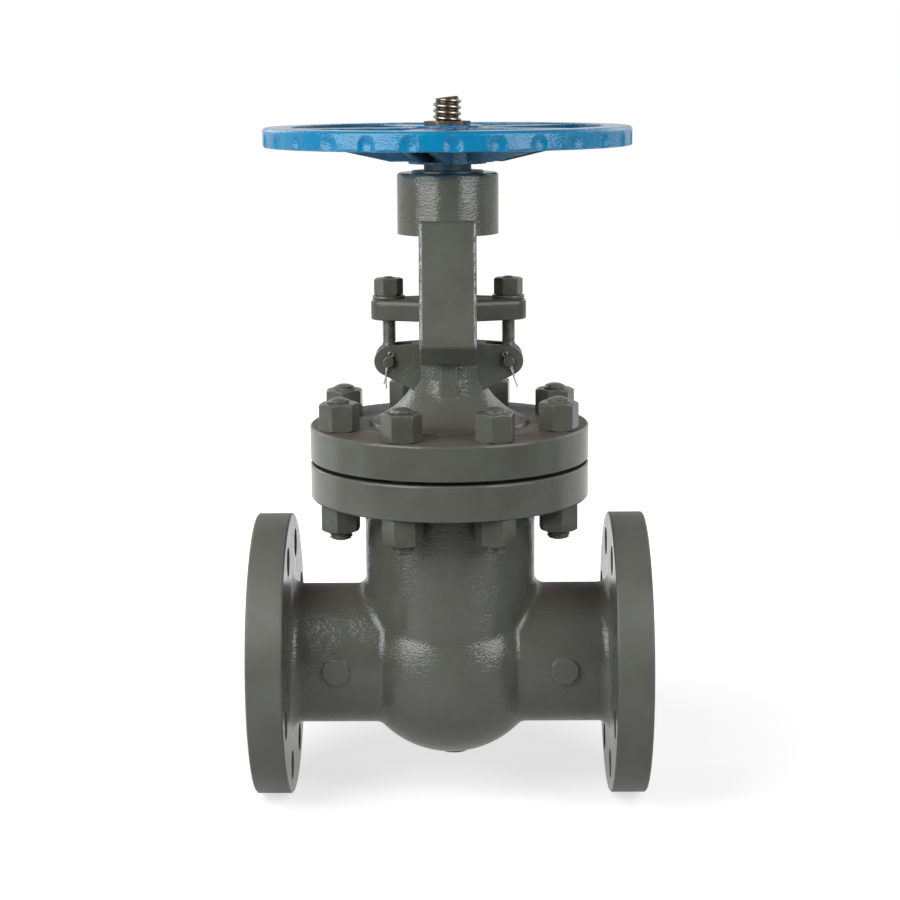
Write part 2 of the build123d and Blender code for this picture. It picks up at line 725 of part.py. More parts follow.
# Eye bolts, their pins, washers and nuts
for side, name in ((-1, "left"), (1, "right")):
    bolt_x = stem_x + side * eye_bolt_spread
    with BuildPart() as eye_bolt:
        with BuildSketch(Plane.XZ.offset(-eye_width / 2)):
            with Locations((bolt_x, pin_height)):
                Circle(eye_radius)
        extrude(amount=eye_width)
        with BuildSketch(Plane(origin=(bolt_x, 0, pin_height))):
            Circle(eye_bolt_radius)
        extrude(amount=eye_bolt_top - pin_height)
        chamfer(eye_bolt.edges().filter_by(GeomType.CIRCLE).sort_by(Axis.Z)[-1], eye_bolt_chamfer)
        with BuildSketch(Plane.XZ.offset(-eye_width / 2)):
            with Locations((bolt_x, pin_height)):
                Circle(pin_radius + pin_clearance)
        extrude(amount=eye_width, mode=Mode.SUBTRACT)
    save(eye_bolt, f"eye_bolt_{name}")

    pin_half_length = ear_width / 2 + pin_stick_out
    with BuildPart() as eye_pin:
        with BuildSketch(Plane.XZ.offset(-pin_half_length)):
            with Locations((bolt_x, pin_height)):
                Circle(pin_radius)
        extrude(amount=2 * pin_half_length)
        chamfer(eye_pin.edges().filter_by(GeomType.CIRCLE), pin_chamfer)
    save(eye_pin, f"eye_pin_{name}")

    gland_washer_plane = Plane(origin=(bolt_x, 0, gland_top))
    with BuildPart() as gland_washer:
        with BuildSketch(gland_washer_plane):
            Circle(gland_washer_radius)
            Circle(eye_bolt_radius + gland_clearance, mode=Mode.SUBTRACT)
        extrude(amount=gland_washer_thickness)
    save(gland_washer, f"gland_washer_{name}")
    gland_nut_plane = gland_washer_plane.offset(gland_washer_thickness)
    gland_nut = hex_nut(gland_nut_plane, gland_nut_flats, gland_nut_height, eye_bolt_radius, gland_nut_turn)
    save(gland_nut, f"gland_nut_{name}")

# Yoke nut: journal, flange in the hub, neck and the hexagon that drives it with the wheel
yoke_nut_end_radius = wheel_drive_flats / 2 - yoke_nut_end_step
with BuildPart() as yoke_nut:
    with BuildSketch(stem_side_plane):
        with BuildLine():
            Polyline(
                (0, hub_bottom + yoke_nut_foot_gap),
                (hub_lip_radius - journal_gap, hub_bottom + yoke_nut_foot_gap),
                (hub_lip_radius - journal_gap, yoke_nut_flange_bottom + yoke_nut_bore_gap),
                (yoke_nut_flange_radius, yoke_nut_flange_bottom + yoke_nut_bore_gap),
                (yoke_nut_flange_radius, hub_top - yoke_nut_bore_gap),
                (yoke_nut_neck_radius, hub_top - yoke_nut_bore_gap),
                (yoke_nut_neck_radius, yoke_nut_neck_top),
                (0, yoke_nut_neck_top),
                close=True,
            )
        make_face()
    revolve(axis=stem_axis)
    with BuildSketch(stem_plane.offset(yoke_nut_neck_top)):
        RegularPolygon(wheel_drive_flats / 2, 6, major_radius=False)
    extrude(amount=wheel_hub_top - yoke_nut_neck_top)
    with BuildSketch(stem_plane.offset(wheel_hub_top)):
        Circle(yoke_nut_end_radius)
    extrude(amount=lock_nut_height)
    with BuildSketch(stem_plane.offset(hub_bottom)):
        Circle(stem_radius + stem_running_gap)
    extrude(amount=wheel_hub_top + lock_nut_height - hub_bottom, mode=Mode.SUBTRACT)
save(yoke_nut, "yoke_nut")

with BuildPart() as hub_cap:
    with BuildSketch(stem_plane.offset(hub_top)):
        Circle(cap_radius)
        Circle(yoke_nut_neck_radius + yoke_nut_bore_gap, mode=Mode.SUBTRACT)
    extrude(amount=cap_thickness)
save(hub_cap, "hub_cap")

# Cutter for a finger scoop in the handwheel's rim: a round bar with a ball end
with BuildPart() as finger_scoop:
    with BuildSketch():
        Circle(finger_scoop_radius)
    extrude(amount=-2 * finger_scoop_rise)
    Sphere(finger_scoop_radius)

# Handwheel: channel rim open below with finger scoops, five channel spokes and a hub
rim_inner_radius = wheel_radius - wheel_rim_width
rim_wall_inside = wheel_radius - wheel_wall - finger_scoop_depth
with BuildPart() as handwheel:
    with BuildSketch(stem_side_plane) as rim_profile:
        with BuildLine():
            Polyline(
                (wheel_radius, wheel_bottom),
                (wheel_radius, wheel_top),
                (rim_inner_radius, wheel_top),
                (rim_inner_radius, wheel_top - wheel_inner_lip),
                (rim_inner_radius + wheel_wall, wheel_top - wheel_inner_lip),
                (rim_inner_radius + wheel_wall, wheel_top - wheel_wall),
                (rim_wall_inside, wheel_top - wheel_wall),
                (rim_wall_inside, wheel_bottom),
                close=True,
            )
        make_face()
        fillet(rim_profile.vertices().group_by(Axis.X)[-1].sort_by(Axis.Y)[-1], wheel_rim_edge)
        fillet(rim_profile.vertices().group_by(Axis.X)[-1].sort_by(Axis.Y)[0], wheel_rim_foot_edge)
    revolve(axis=stem_axis)
    scoop_centre = wheel_radius - finger_scoop_depth + finger_scoop_radius
    with Locations((stem_x, 0, wheel_bottom + finger_scoop_rise)):
        with PolarLocations(scoop_centre, finger_scoop_count, finger_scoop_phase - 90):
            add(finger_scoop.part, mode=Mode.SUBTRACT)
    # Hub
    with BuildSketch(stem_side_plane):
        with BuildLine():
            Polyline(
                (0, yoke_nut_neck_top),
                (wheel_hub_radius, yoke_nut_neck_top),
                (wheel_hub_radius, wheel_spoke_low),
                (wheel_hub_waist, wheel_spoke_low),
                (wheel_hub_waist, wheel_hub_top),
                (0, wheel_hub_top),
                close=True,
            )
        make_face()
    revolve(axis=stem_axis)
    # Spokes: a flat top and two side walls that get deeper towards the hub
    for number in range(wheel_spoke_count):
        heading = wheel_spoke_phase + number * 360 / wheel_spoke_count
        spoke_x = Vector(math.cos(math.radians(heading)), math.sin(math.radians(heading)), 0)
        spoke_side = Vector(-spoke_x.Y, spoke_x.X, 0)
        spoke_plane = Plane(origin=(stem_x, 0, 0), x_dir=spoke_x, z_dir=-spoke_side)
        spoke_start = wheel_hub_waist - wheel_spoke_overlap
        spoke_end = rim_inner_radius + wheel_spoke_overlap
        for wall_shift in (-wheel_spoke_width / 2, wheel_spoke_width / 2 - wheel_spoke_wall):
            with BuildSketch(spoke_plane.offset(wall_shift)):
                with BuildLine():
                    Polyline(
                        (spoke_start, wheel_spoke_low),
                        (wheel_spoke_root_reach, wheel_spoke_low),
                        (spoke_end, wheel_spoke_rim_low),
                        (spoke_end, wheel_spoke_top),
                        (spoke_start, wheel_spoke_top),
                        close=True,
                    )
                make_face()
            extrude(amount=wheel_spoke_wall)
        with BuildSketch(spoke_plane.offset(-wheel_spoke_width / 2)):
            with BuildLine():
                Polyline(
                    (spoke_start, wheel_spoke_top - wheel_spoke_wall),
                    (spoke_end, wheel_spoke_top - wheel_spoke_wall),
                    (spoke_end, wheel_spoke_top),
                    (spoke_start, wheel_spoke_top),
                    close=True,
                )
            make_face()
        extrude(amount=wheel_spoke_width)
    with BuildSketch(stem_plane.offset(yoke_nut_neck_top)):
        RegularPolygon(wheel_drive_flats / 2 + wheel_drive_gap, 6, major_radius=False)
    extrude(amount=wheel_hub_top - yoke_nut_neck_top, mode=Mode.SUBTRACT)
save(handwheel, "handwheel")

with BuildPart() as lock_nut:
    with BuildSketch(stem_plane.offset(wheel_hub_top)):
        Circle(lock_nut_radius)
        Circle(yoke_nut_end_radius, mode=Mode.SUBTRACT)
    extrude(amount=lock_nut_height)
save(lock_nut, "handwheel_lock_nut")
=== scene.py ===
"""Looks of a parallel gate valve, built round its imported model.

The castings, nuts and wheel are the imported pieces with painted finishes. The screw threads, studs, eye
bolts and split pins are made here. Every size is in metres, in the frame of the model.
"""

import logging
import math
from dataclasses import dataclass, field
from enum import Enum

import bmesh
import bpy
from mathutils import Matrix, Vector


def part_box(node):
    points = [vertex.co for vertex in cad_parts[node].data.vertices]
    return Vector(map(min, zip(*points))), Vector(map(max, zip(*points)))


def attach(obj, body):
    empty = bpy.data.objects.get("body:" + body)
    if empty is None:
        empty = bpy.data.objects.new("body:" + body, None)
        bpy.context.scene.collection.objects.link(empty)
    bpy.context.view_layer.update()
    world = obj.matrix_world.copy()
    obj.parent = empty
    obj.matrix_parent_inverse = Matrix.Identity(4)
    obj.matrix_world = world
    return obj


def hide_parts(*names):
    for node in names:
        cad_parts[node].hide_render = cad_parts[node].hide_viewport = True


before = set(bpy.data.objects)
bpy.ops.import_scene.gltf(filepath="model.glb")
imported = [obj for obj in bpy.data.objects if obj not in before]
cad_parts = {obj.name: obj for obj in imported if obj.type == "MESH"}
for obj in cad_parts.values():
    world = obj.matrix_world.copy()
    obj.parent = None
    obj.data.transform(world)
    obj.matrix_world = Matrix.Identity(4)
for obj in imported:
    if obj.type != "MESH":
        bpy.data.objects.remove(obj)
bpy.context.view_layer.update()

LOG = logging.getLogger("gate_valve")
MM = 0.001
STEM_X = 0.175
EYE_SPREAD = 52 * MM
EYE_HEIGHT = 265.3 * MM

Colour = tuple[float, float, float]
Point = tuple[float, float, float]
Socket = bpy.types.NodeSocket


# Node benches


class Bench:
    """Adds nodes to a tree and wires them.

    Args:
        tree: The shader or geometry node tree to work on.
    """

    def __init__(self, tree: bpy.types.NodeTree) -> None:
        """Keep the tree."""
        self.tree = tree

    def feed(self, value: object, socket: Socket) -> None:
        """Link a socket, or set a plain value.

        Args:
            value: An output socket, or the value to set.
            socket: The input that takes it.
        """
        if isinstance(value, Socket):
            self.tree.links.new(value, socket)
        else:
            socket.default_value = value

    def node(self, kind: str, values: dict | None = None, **settings: object) -> bpy.types.Node:
        """Add one node.

        Args:
            kind: The node's type name.
            values: What goes into its inputs, by input name or index.
            **settings: The node's own properties.

        Returns:
            The new node.
        """
        made = self.tree.nodes.new(kind)
        for key, value in settings.items():
            setattr(made, key, value)
        for key, value in (values or {}).items():
            self.feed(value, made.inputs[key])
        return made

    def math(self, operation: str, a: object, b: object = 0.0, clamp: bool = False) -> Socket:
        """Add a Math node.

        Args:
            operation: The operation's name.
            a: First value or socket.
            b: Second value or socket.
            clamp: Whether the result is kept between 0 and 1.

        Returns:
            The result.
        """
        return self.node("ShaderNodeMath", {0: a, 1: b}, operation=operation, use_clamp=clamp).outputs[0]

    def blend(self, factor: object, a: object, b: object) -> Socket:
        """Mix two numbers.

        Args:
            factor: Share of the second number.
            a: First number or socket.
            b: Second number or socket.

        Returns:
            The mixed number.
        """
        return self.node("ShaderNodeMix", {0: factor, 2: a, 3: b}, data_type="FLOAT").outputs[0]

    def times(self, a: object, b: object, clamp: bool = False) -> Socket:
        """Product of two numbers, kept between 0 and 1 if clamp is set."""
        return self.math("MULTIPLY", a, b, clamp)

    def plus(self, a: object, b: object, clamp: bool = False) -> Socket:
        """Sum of two numbers, kept between 0 and 1 if clamp is set."""
        return self.math("ADD", a, b, clamp)

    def without(self, mask: object, share: float = 1.0) -> Socket:
        """What is left of 1 when a share of a mask is taken away."""
        return self.math("SUBTRACT", 1.0, self.times(mask, share))

    def axle_distance(self) -> Socket:
        """Distance from the stem's axis.

        Returns:
            The distance in metres.
        """
        flat = self.stretch(self.place(), (1.0, 1.0, 0.0))
        shift = {0: flat, 1: (-STEM_X, 0.0, 0.0)}
        away = self.node("ShaderNodeVectorMath", shift, operation="ADD").outputs[0]
        return self.node("ShaderNodeVectorMath", {0: away}, operation="LENGTH").outputs["Value"]

    def between(self, value: object, low: float, high: float, soft: float) -> Socket:
        """Mask of the places where a value lies between two bounds.

        Args:
            value: The value.
            low: Lower bound.
            high: Upper bound.
            soft: Width of the fade at each bound.

        Returns:
            A mask from 0 to 1.
        """
        rise = self.fade(value, low - soft, low + soft)
        fall = self.fade(value, high + soft, high - soft)
        return self.times(rise, fall)

    def fade(self, value: object, start: float, end: float) -> Socket:
        """Smooth step from 0 at start to 1 at end.

        Args:
            value: The value to step.
            start: Where the result is 0.
            end: Where the result is 1.

        Returns:
            The stepped value.
        """
        made = self.node("ShaderNodeMapRange", {0: value}, interpolation_type="SMOOTHSTEP")
        low, high, flip = (start, end, False) if start < end else (end, start, True)
        self.feed(low, made.inputs[1])
        self.feed(high, made.inputs[2])
        self.feed(1.0 if flip else 0.0, made.inputs[3])
        self.feed(0.0 if flip else 1.0, made.inputs[4])
        return made.outputs[0]

    def mix(self, factor: object, a: object, b: object) -> Socket:
        """Mix two colours.

        Args:
            factor: Share of the second colour.
            a: First colour or socket.
            b: Second colour or socket.

        Returns:
            The mixed colour.
        """
        made = self.node("ShaderNodeMix", data_type="RGBA")
        for index, value in ((0, factor), (6, a), (7, b)):
            self.feed((*value, 1.0) if isinstance(value, tuple) else value, made.inputs[index])
        return made.outputs[2]

    def noise(self, vector: object, scale: object, detail: float = 2.0, rough: float = 0.5) -> Socket:
        """Noise value from 0 to 1.

        Args:
            vector: Where it is read.
            scale: Features to a metre.
            detail: Octaves.
            rough: How strong the finer octaves are.

        Returns:
            The noise value.
        """
        values = {"Vector": vector, "Scale": scale, "Detail": detail, "Roughness": rough}
        return self.node("ShaderNodeTexNoise", values).outputs["Fac"]

    def stretch(self, vector: object, scale: Point) -> Socket:
        """Scale a vector along each axis.

        Args:
            vector: The vector.
            scale: One factor for each axis.

        Returns:
            The scaled vector.
        """
        return self.node("ShaderNodeVectorMath", {0: vector, 1: scale}, operation="MULTIPLY").outputs[0]

    def place(self) -> Socket:
        """Object coordinates."""
        return self.node("ShaderNodeTexCoord").outputs["Object"]

    def axes(self, vector: object) -> list[Socket]:
        """The three parts of a vector."""
        return list(self.node("ShaderNodeSeparateXYZ", {0: vector}).outputs)

    def group(self, tree: bpy.types.NodeTree, values: dict[str, float]) -> bpy.types.bpy_prop_collection:
        """Place a shader group with its own values.

        Args:
            tree: The group.
            values: Its inputs by name.

        Returns:
            The group's outputs.
        """
        made = self.node("ShaderNodeGroup", node_tree=tree)
        for label, value in values.items():
            self.feed(value, made.inputs[label])
        return made.outputs

    def rays(self) -> tuple[Socket, Socket]:
        """Tell apart the rays that reach a surface.

        Returns:
            Masks of the camera's own rays and of the rays that gloss sends on.
        """
        path = self.node("ShaderNodeLightPath").outputs
        direct = self.plus(path["Is Camera Ray"], path["Is Transmission Ray"], clamp=True)
        return direct, path["Is Glossy Ray"]


def new_group(
    name: str, inputs: dict[str, float], outputs: dict[str, str]
) -> tuple[Bench, dict[str, Socket], bpy.types.Node]:
    """Start a shader node group.

    Args:
        name: The group's name.
        inputs: Its number inputs and their defaults.
        outputs: Its outputs and their socket types.

    Returns:
        The bench, the input sockets by name and the output node.
    """
    tree = bpy.data.node_groups.new(name, "ShaderNodeTree")
    for label, default in inputs.items():
        made = tree.interface.new_socket(label, in_out="INPUT", socket_type="NodeSocketFloat")
        made.default_value = default
    for label, kind in outputs.items():
        tree.interface.new_socket(label, in_out="OUTPUT", socket_type=kind)
    bench = Bench(tree)
    source = bench.node("NodeGroupInput")
    return bench, {label: source.outputs[label] for label in inputs}, bench.node("NodeGroupOutput")


def new_material(name: str) -> tuple[bpy.types.Material, Bench]:
    """Start a material with an empty tree.

    Args:
        name: The material's name.

    Returns:
        The material and the bench of its tree.
    """
    made = bpy.data.materials.new(name)
    made.use_nodes = True
    made.node_tree.nodes.clear()
    return made, Bench(made.node_tree)


class Effects:
    """Shader groups that more than one finish uses."""

    def __init__(self) -> None:
        """Build each group once."""
        self.skin = self._skin()
        self.dust = self._dust()
        self.edges = self._edges()
        self.turning = self._turning()

    @staticmethod
    def _skin() -> bpy.types.NodeTree:
        """Height of cast sand grain, orange peel and runs under paint, with a slow mottle.

        Returns:
            The group.
        """
        patch_scale, peel_scale, lump_scale, mottle_scale = 38.0, 900.0, 75.0, 26.0
        bench, values, out = new_group(
            "paint_skin",
            {"Grain Scale": 330.0, "Grain": 1.0, "Peel": 0.3, "Lumps": 0.5},
            {"Height": "NodeSocketFloat", "Mottle": "NodeSocketFloat"},
        )
        place = bench.place()
        grain = bench.noise(bench.stretch(place, (1.0, 1.0, 2.0)), values["Grain Scale"], 2.0, 0.55)
        patches = bench.fade(bench.noise(place, patch_scale, 2.0), 0.36, 0.62)
        grain = bench.times(grain, bench.plus(bench.times(patches, 0.6), 0.5))
        grain = bench.times(grain, values["Grain"])
        peel = bench.times(bench.noise(place, peel_scale, 1.0), values["Peel"])
        lumps = bench.times(bench.noise(place, lump_scale, 1.5), values["Lumps"])
        bench.feed(bench.plus(bench.plus(grain, peel), lumps), out.inputs["Height"])
        bench.feed(bench.noise(place, mottle_scale, 4.0, 0.6), out.inputs["Mottle"])
        return bench.tree

    @staticmethod
    def _dust() -> bpy.types.NodeTree:
        """Mask of dust that settles on what faces up.

        Returns:
            The group.
        """
        defaults = {"Amount": 0.5, "Patch Scale": 60.0}
        bench, values, out = new_group("settled_dust", defaults, {"Mask": "NodeSocketFloat"})
        normal = bench.node("ShaderNodeNewGeometry").outputs["Normal"]
        facing = bench.fade(bench.axes(normal)[2], 0.6, 1.0)
        patch = bench.fade(bench.noise(bench.place(), values["Patch Scale"], 4.0, 0.65), 0.3, 0.65)
        cover = bench.times(bench.blend(patch, 0.7, 1.0), values["Amount"])
        bench.feed(bench.times(facing, cover, clamp=True), out.inputs["Mask"])
        return bench.tree

    @staticmethod
    def _edges() -> bpy.types.NodeTree:
        """Softened edge normals, and a broken mask along the edges.

        Returns:
            The group.
        """
        defaults = {"Radius": 0.0008, "Break Scale": 160.0}
        kinds = {"Normal": "NodeSocketVector", "Mask": "NodeSocketFloat"}
        bench, values, out = new_group("soft_edges", defaults, kinds)
        soft = bench.node("ShaderNodeBevel", {"Radius": values["Radius"]}, samples=6).outputs[0]
        flat = bench.node("ShaderNodeNewGeometry").outputs["Normal"]
        near = bench.node("ShaderNodeVectorMath", {0: soft, 1: flat}, operation="DOT_PRODUCT")
        edge = bench.fade(near.outputs["Value"], 0.995, 0.86)
        broken = bench.fade(bench.noise(bench.place(), values["Break Scale"], 5.0, 0.7), 0.42, 0.6)
        bench.feed(soft, out.inputs["Normal"])
        bench.feed(bench.times(edge, broken), out.inputs["Mask"])
        return bench.tree

    @staticmethod
    def _turning() -> bpy.types.NodeTree:
        """Height of the fine lines that a lathe leaves, across X or across Z.

        Returns:
            The group.
        """
        defaults = {"Along Z": 0.0, "Lines": 1500.0}
        bench, values, out = new_group("turned_lines", defaults, {"Height": "NodeSocketFloat"})
        x, _, z = bench.axes(bench.place())
        line = bench.node("ShaderNodeCombineXYZ", {0: bench.blend(values["Along Z"], x, z)}).outputs[0]
        bench.feed(bench.noise(line, values["Lines"], 3.0, 0.7), out.inputs["Height"])
        return bench.tree


@dataclass
class Layers:
    """What a finish feeds into its surface, changed place by place.

    Attributes:
        bench: Bench of the material's tree.
        effects: The shared shader groups.
        colour: Base colour.
        rough: Roughness.
        height: Height of the bumps.
        dust: Mask of the settled dust.
        metal: How metallic it is.
    """

    bench: Bench
    effects: Effects
    colour: object
    rough: object
    height: object
    dust: object = 0.0
    metal: object = 0.0

    def tint(self, mask: object, colour: Colour) -> None:
        """Lay a colour over the places of a mask."""
        self.colour = self.bench.mix(mask, self.colour, colour)

    def roughen(self, mask: object, amount: float, clamp: bool = False) -> None:
        """Add an amount to the roughness over the places of a mask, kept to 1 if clamp is set."""
        self.rough = self.bench.plus(self.rough, self.bench.times(mask, amount), clamp)

    def lathe(self, along_z: float) -> Socket:
        """Height of a lathe's lines, across X at 0 or across Z at 1."""
        return self.bench.group(self.effects.turning, {"Along Z": along_z})[0]

    def machine(self, mask: object, lines: object) -> None:
        """Flatten the cast grain over the places of a mask, and add a lathe's lines."""
        flat = self.bench.times(self.height, self.bench.without(mask, LATHE_FLATTENS))
        self.height = self.bench.plus(flat, self.bench.times(lines, LATHE_DEPTH))

    def finish(self, depth: float, normal: Socket, gloss: float = 0.5) -> None:
        """Wire the layers into the material's surface.

        Args:
            depth: Height of the bumps in metres.
            normal: Normal with the edges softened.
            gloss: Strength of the mirrored light.
        """
        bumps = {"Strength": 1.0, "Distance": depth, "Height": self.height, "Normal": normal}
        bump = self.bench.node("ShaderNodeBump", bumps)
        surface = self.bench.node(
            "ShaderNodeBsdfPrincipled",
            {
                "Base Color": self.colour,
                "Roughness": self.rough,
                "Metallic": self.metal,
                "Specular IOR Level": gloss,
                "Normal": bump.outputs[0],
            },
        )
        self.bench.node("ShaderNodeOutputMaterial", {"Surface": surface.outputs[0]})


# Places of the castings that have a finish of their own

MOTTLE_ROUGHNESS = 0.1
DUST_ROUGHNESS = 0.65
LATHE_FLATTENS = 0.94
LATHE_DEPTH = 0.02

DUST: Colour = (0.100, 0.083, 0.062)
OVERSPRAY: Colour = (0.004, 0.038, 0.066)
GAP_PAINTED_SHADE: Colour = (0.006, 0.006, 0.006)
MACHINED_STEEL: Colour = (0.36, 0.34, 0.32)
CORNER_PAINTED_HIGHLIGHT: Colour = (0.30, 0.31, 0.29)
WHEEL_UNDERSIDE: Colour = (0.012, 0.05, 0.09)
WHEEL_INSIDE_PAINTED_SHADE: Colour = (0.008, 0.05, 0.10)
WHEEL_CHIP: Colour = (0.02, 0.022, 0.024)
ROOT_DARK: Colour = (0.035, 0.024, 0.015)

LEFT_RIM = (-10 * MM, 33.5 * MM)
RIGHT_RIM = (316.5 * MM, 360 * MM)
BODY_RIM = (145.5 * MM, 178 * MM)
BONNET_RIM = (170 * MM, 208.5 * MM)
END_RIM_FADE = 0.4 * MM
MIDDLE_RIM_FADE = 0.3 * MM
LEFT_FACE = (0.6 * MM, 0.3 * MM)
RIGHT_FACE = (349.4 * MM, 349.7 * MM)
FACE_RADIUS = (81.5 * MM, 81.2 * MM)
FACE_RING_PITCH = 0.8 * MM
MIDDLE_FLANGE_RADIUS = (121.3 * MM, 120.8 * MM)
SPRAY_EDGE = (423 * MM, 431.5 * MM)
SPRAY_RAGGED = 6 * MM
DUST_END = (420 * MM, 400 * MM)
ARM_CORNER = (22.4 * MM, 24 * MM)
ARM_FRONT = (-41.5 * MM, -43.5 * MM)
ARM_LENGTH = (282 * MM, 394 * MM)
WHEEL_LOW = (450 * MM, 447.5 * MM)
RIM_INSIDE = (136.5 * MM, 134.5 * MM)
RIM_LIP = (467.5 * MM, 466 * MM)


def paint_gap_shade(coat: Layers, z: Socket, side: int) -> None:
    """Paint shade on the face of a middle flange that looks into the narrow gap beside the gasket, where
    little light reaches.

    Args:
        coat: The paint's layers.
        z: Height of each place.
        side: 1 for the flange above the gasket, -1 for the one below.
    """
    low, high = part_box("bonnet_gasket")
    level = high.z if side > 0 else low.z
    face = coat.bench.fade(z, level + side * 0.5 * MM, level + side * 0.1 * MM)
    face = coat.bench.times(face, coat.bench.fade(coat.bench.axle_distance(), *MIDDLE_FLANGE_RADIUS))
    # Painted shade: the flange's face in the gap is tinted near black and kept free of dust.
    coat.tint(face, GAP_PAINTED_SHADE)
    coat.dust = coat.bench.times(coat.dust, coat.bench.without(face))
    coat.roughen(face, 0.7, clamp=True)


def body_places(coat: Layers) -> None:
    """Turned rims, bare end faces and the painted shade in the gap of the body.

    Args:
        coat: The paint's layers.
    """
    bench = coat.bench
    x, y, z = bench.axes(bench.place())
    left = bench.between(x, *LEFT_RIM, END_RIM_FADE)
    ends = bench.plus(left, bench.between(x, *RIGHT_RIM, END_RIM_FADE), clamp=True)
    middle = bench.between(z, *BODY_RIM, MIDDLE_RIM_FADE)
    lines = bench.plus(bench.times(coat.lathe(0.0), ends), bench.times(coat.lathe(1.0), middle))
    coat.machine(bench.plus(ends, middle, clamp=True), lines)
    coat.roughen(ends, 0.3)
    faces = bench.plus(bench.fade(x, *LEFT_FACE), bench.fade(x, *RIGHT_FACE), clamp=True)
    radius = bench.math("SQRT", bench.plus(bench.times(y, y), bench.times(z, z)))
    faces = bench.times(faces, bench.fade(radius, *FACE_RADIUS))
    rings = bench.math("SINE", bench.times(radius, 2 * math.pi / FACE_RING_PITCH))
    coat.height = bench.plus(coat.height, bench.times(bench.times(rings, faces), 0.03))
    coat.tint(faces, MACHINED_STEEL)
    coat.metal = faces
    coat.dust = bench.times(coat.dust, bench.without(ends, 0.9))
    paint_gap_shade(coat, z, -1)


def bonnet_places(coat: Layers) -> None:
    """Turned rim, oversprayed hub, painted highlights on the arm corners and painted shade in the gap of the
    bonnet.

    Args:
        coat: The paint's layers.
    """
    bench = coat.bench
    x, y, z = bench.axes(bench.place())
    middle = bench.between(z, *BONNET_RIM, MIDDLE_RIM_FADE)
    coat.machine(middle, bench.times(coat.lathe(1.0), middle))
    uneven = bench.noise(bench.stretch(bench.place(), (1.0, 1.0, 0.2)), 150.0, 3.0)
    spray = bench.fade(bench.plus(z, bench.times(uneven, SPRAY_RAGGED)), *SPRAY_EDGE)
    coat.tint(bench.times(spray, 0.95), OVERSPRAY)
    coat.dust = bench.times(coat.dust, bench.fade(z, *DUST_END))
    # Painted highlight: a broken pale streak down the front corners of the arms.
    across = bench.math("ABSOLUTE", bench.math("SUBTRACT", x, STEM_X))
    corner = bench.times(bench.between(across, *ARM_CORNER, 0.5 * MM), bench.fade(y, *ARM_FRONT))
    corner = bench.times(corner, bench.between(z, *ARM_LENGTH, 2 * MM))
    run = bench.noise(bench.stretch(bench.place(), (1.0, 1.0, 0.45)), 330.0, 3.0, 0.7)
    coat.tint(bench.times(corner, bench.fade(run, 0.44, 0.58)), CORNER_PAINTED_HIGHLIGHT)
    paint_gap_shade(coat, z, 1)


def wheel_places(coat: Layers) -> None:
    """Darker underside, chips and painted shade on the inner rim of the handwheel.

    Args:
        coat: The paint's layers.
    """
    bench = coat.bench
    z = bench.axes(bench.place())[2]
    # Darker towards the bottom, in blotches.
    low = bench.fade(z, *WHEEL_LOW)
    blotch = bench.fade(bench.noise(bench.place(), 60.0, 4.0, 0.65), 0.35, 0.6)
    coat.tint(bench.times(low, bench.blend(blotch, 0.6, 0.95)), WHEEL_UNDERSIDE)
    coat.tint(bench.fade(bench.noise(bench.place(), 95.0, 5.0, 0.75), 0.735, 0.75), WHEEL_CHIP)
    coat.roughen(low, 0.3)
    # Painted shade: the inner face of the rim is tinted darker, where the rim shades itself.
    shaded_inside = bench.times(bench.fade(bench.axle_distance(), *RIM_INSIDE), bench.fade(z, *RIM_LIP))
    coat.tint(bench.times(shaded_inside, 0.6), WHEEL_INSIDE_PAINTED_SHADE)


class Zones(Enum):
    """Which places of a painted piece have a finish of their own."""

    NONE = "none"
    BODY = "body"
    BONNET = "bonnet"
    WHEEL = "wheel"


PLACES = {Zones.BODY: body_places, Zones.BONNET: bonnet_places, Zones.WHEEL: wheel_places}


@dataclass(frozen=True)
class Paint:
    """A brushed or sprayed paint on cast or forged metal.

    Attributes:
        name: The material's name.
        colour: Main colour, linear.
        shade: Colour of the thin or dirty patches.
        roughness: Roughness of a clean place.
        gloss: Strength of the mirrored light.
        grain: Strength of the sand grain.
        grain_scale: Grains to a metre.
        lumps: Strength of the slow unevenness.
        depth: Height of the bumps in metres.
        edge: Radius of the softened edges.
        edge_wear_and_highlight: How pale the paint is along the edges, partly rubbed paint and partly a
            painted highlight.
        dust: Amount of brown dust on top.
        zones: Places with a finish of their own.
    """

    name: str
    colour: Colour
    shade: Colour
    roughness: float = 0.15
    gloss: float = 0.5
    grain: float = 1.0
    grain_scale: float = 330.0
    lumps: float = 0.3
    depth: float = 0.0006
    edge: float = 0.0013
    edge_wear_and_highlight: float = 0.2
    dust: float = 0.8
    zones: Zones = Zones.NONE

    def material(self, effects: Effects) -> bpy.types.Material:
        """Build the material.

        Args:
            effects: The shared shader groups.

        Returns:
            The material.
        """
        made, bench = new_material(self.name)
        grains = {"Grain Scale": self.grain_scale, "Grain": self.grain, "Peel": 0.06, "Lumps": self.lumps}
        skin = bench.group(effects.skin, grains)
        edges = bench.group(effects.edges, {"Radius": self.edge})
        coat = Layers(
            bench,
            effects,
            colour=bench.mix(bench.fade(skin["Mottle"], 0.35, 0.75), self.colour, self.shade),
            rough=bench.plus(
                bench.times(skin["Mottle"], MOTTLE_ROUGHNESS), self.roughness - MOTTLE_ROUGHNESS / 2
            ),
            height=skin["Height"],
            dust=bench.group(effects.dust, {"Amount": self.dust})["Mask"],
        )
        if self.zones in PLACES:
            PLACES[self.zones](coat)
        # Paler edges: partly rubbed paint, partly a painted highlight where the edges catch the lamps.
        pale = tuple(min(1.0, 1.7 * part + 0.12) for part in self.colour)
        coat.tint(bench.times(edges["Mask"], self.edge_wear_and_highlight), pale)
        coat.tint(coat.dust, DUST)
        coat.roughen(coat.dust, DUST_ROUGHNESS, clamp=True)
        coat.finish(self.depth, edges["Normal"], self.gloss)
        return made


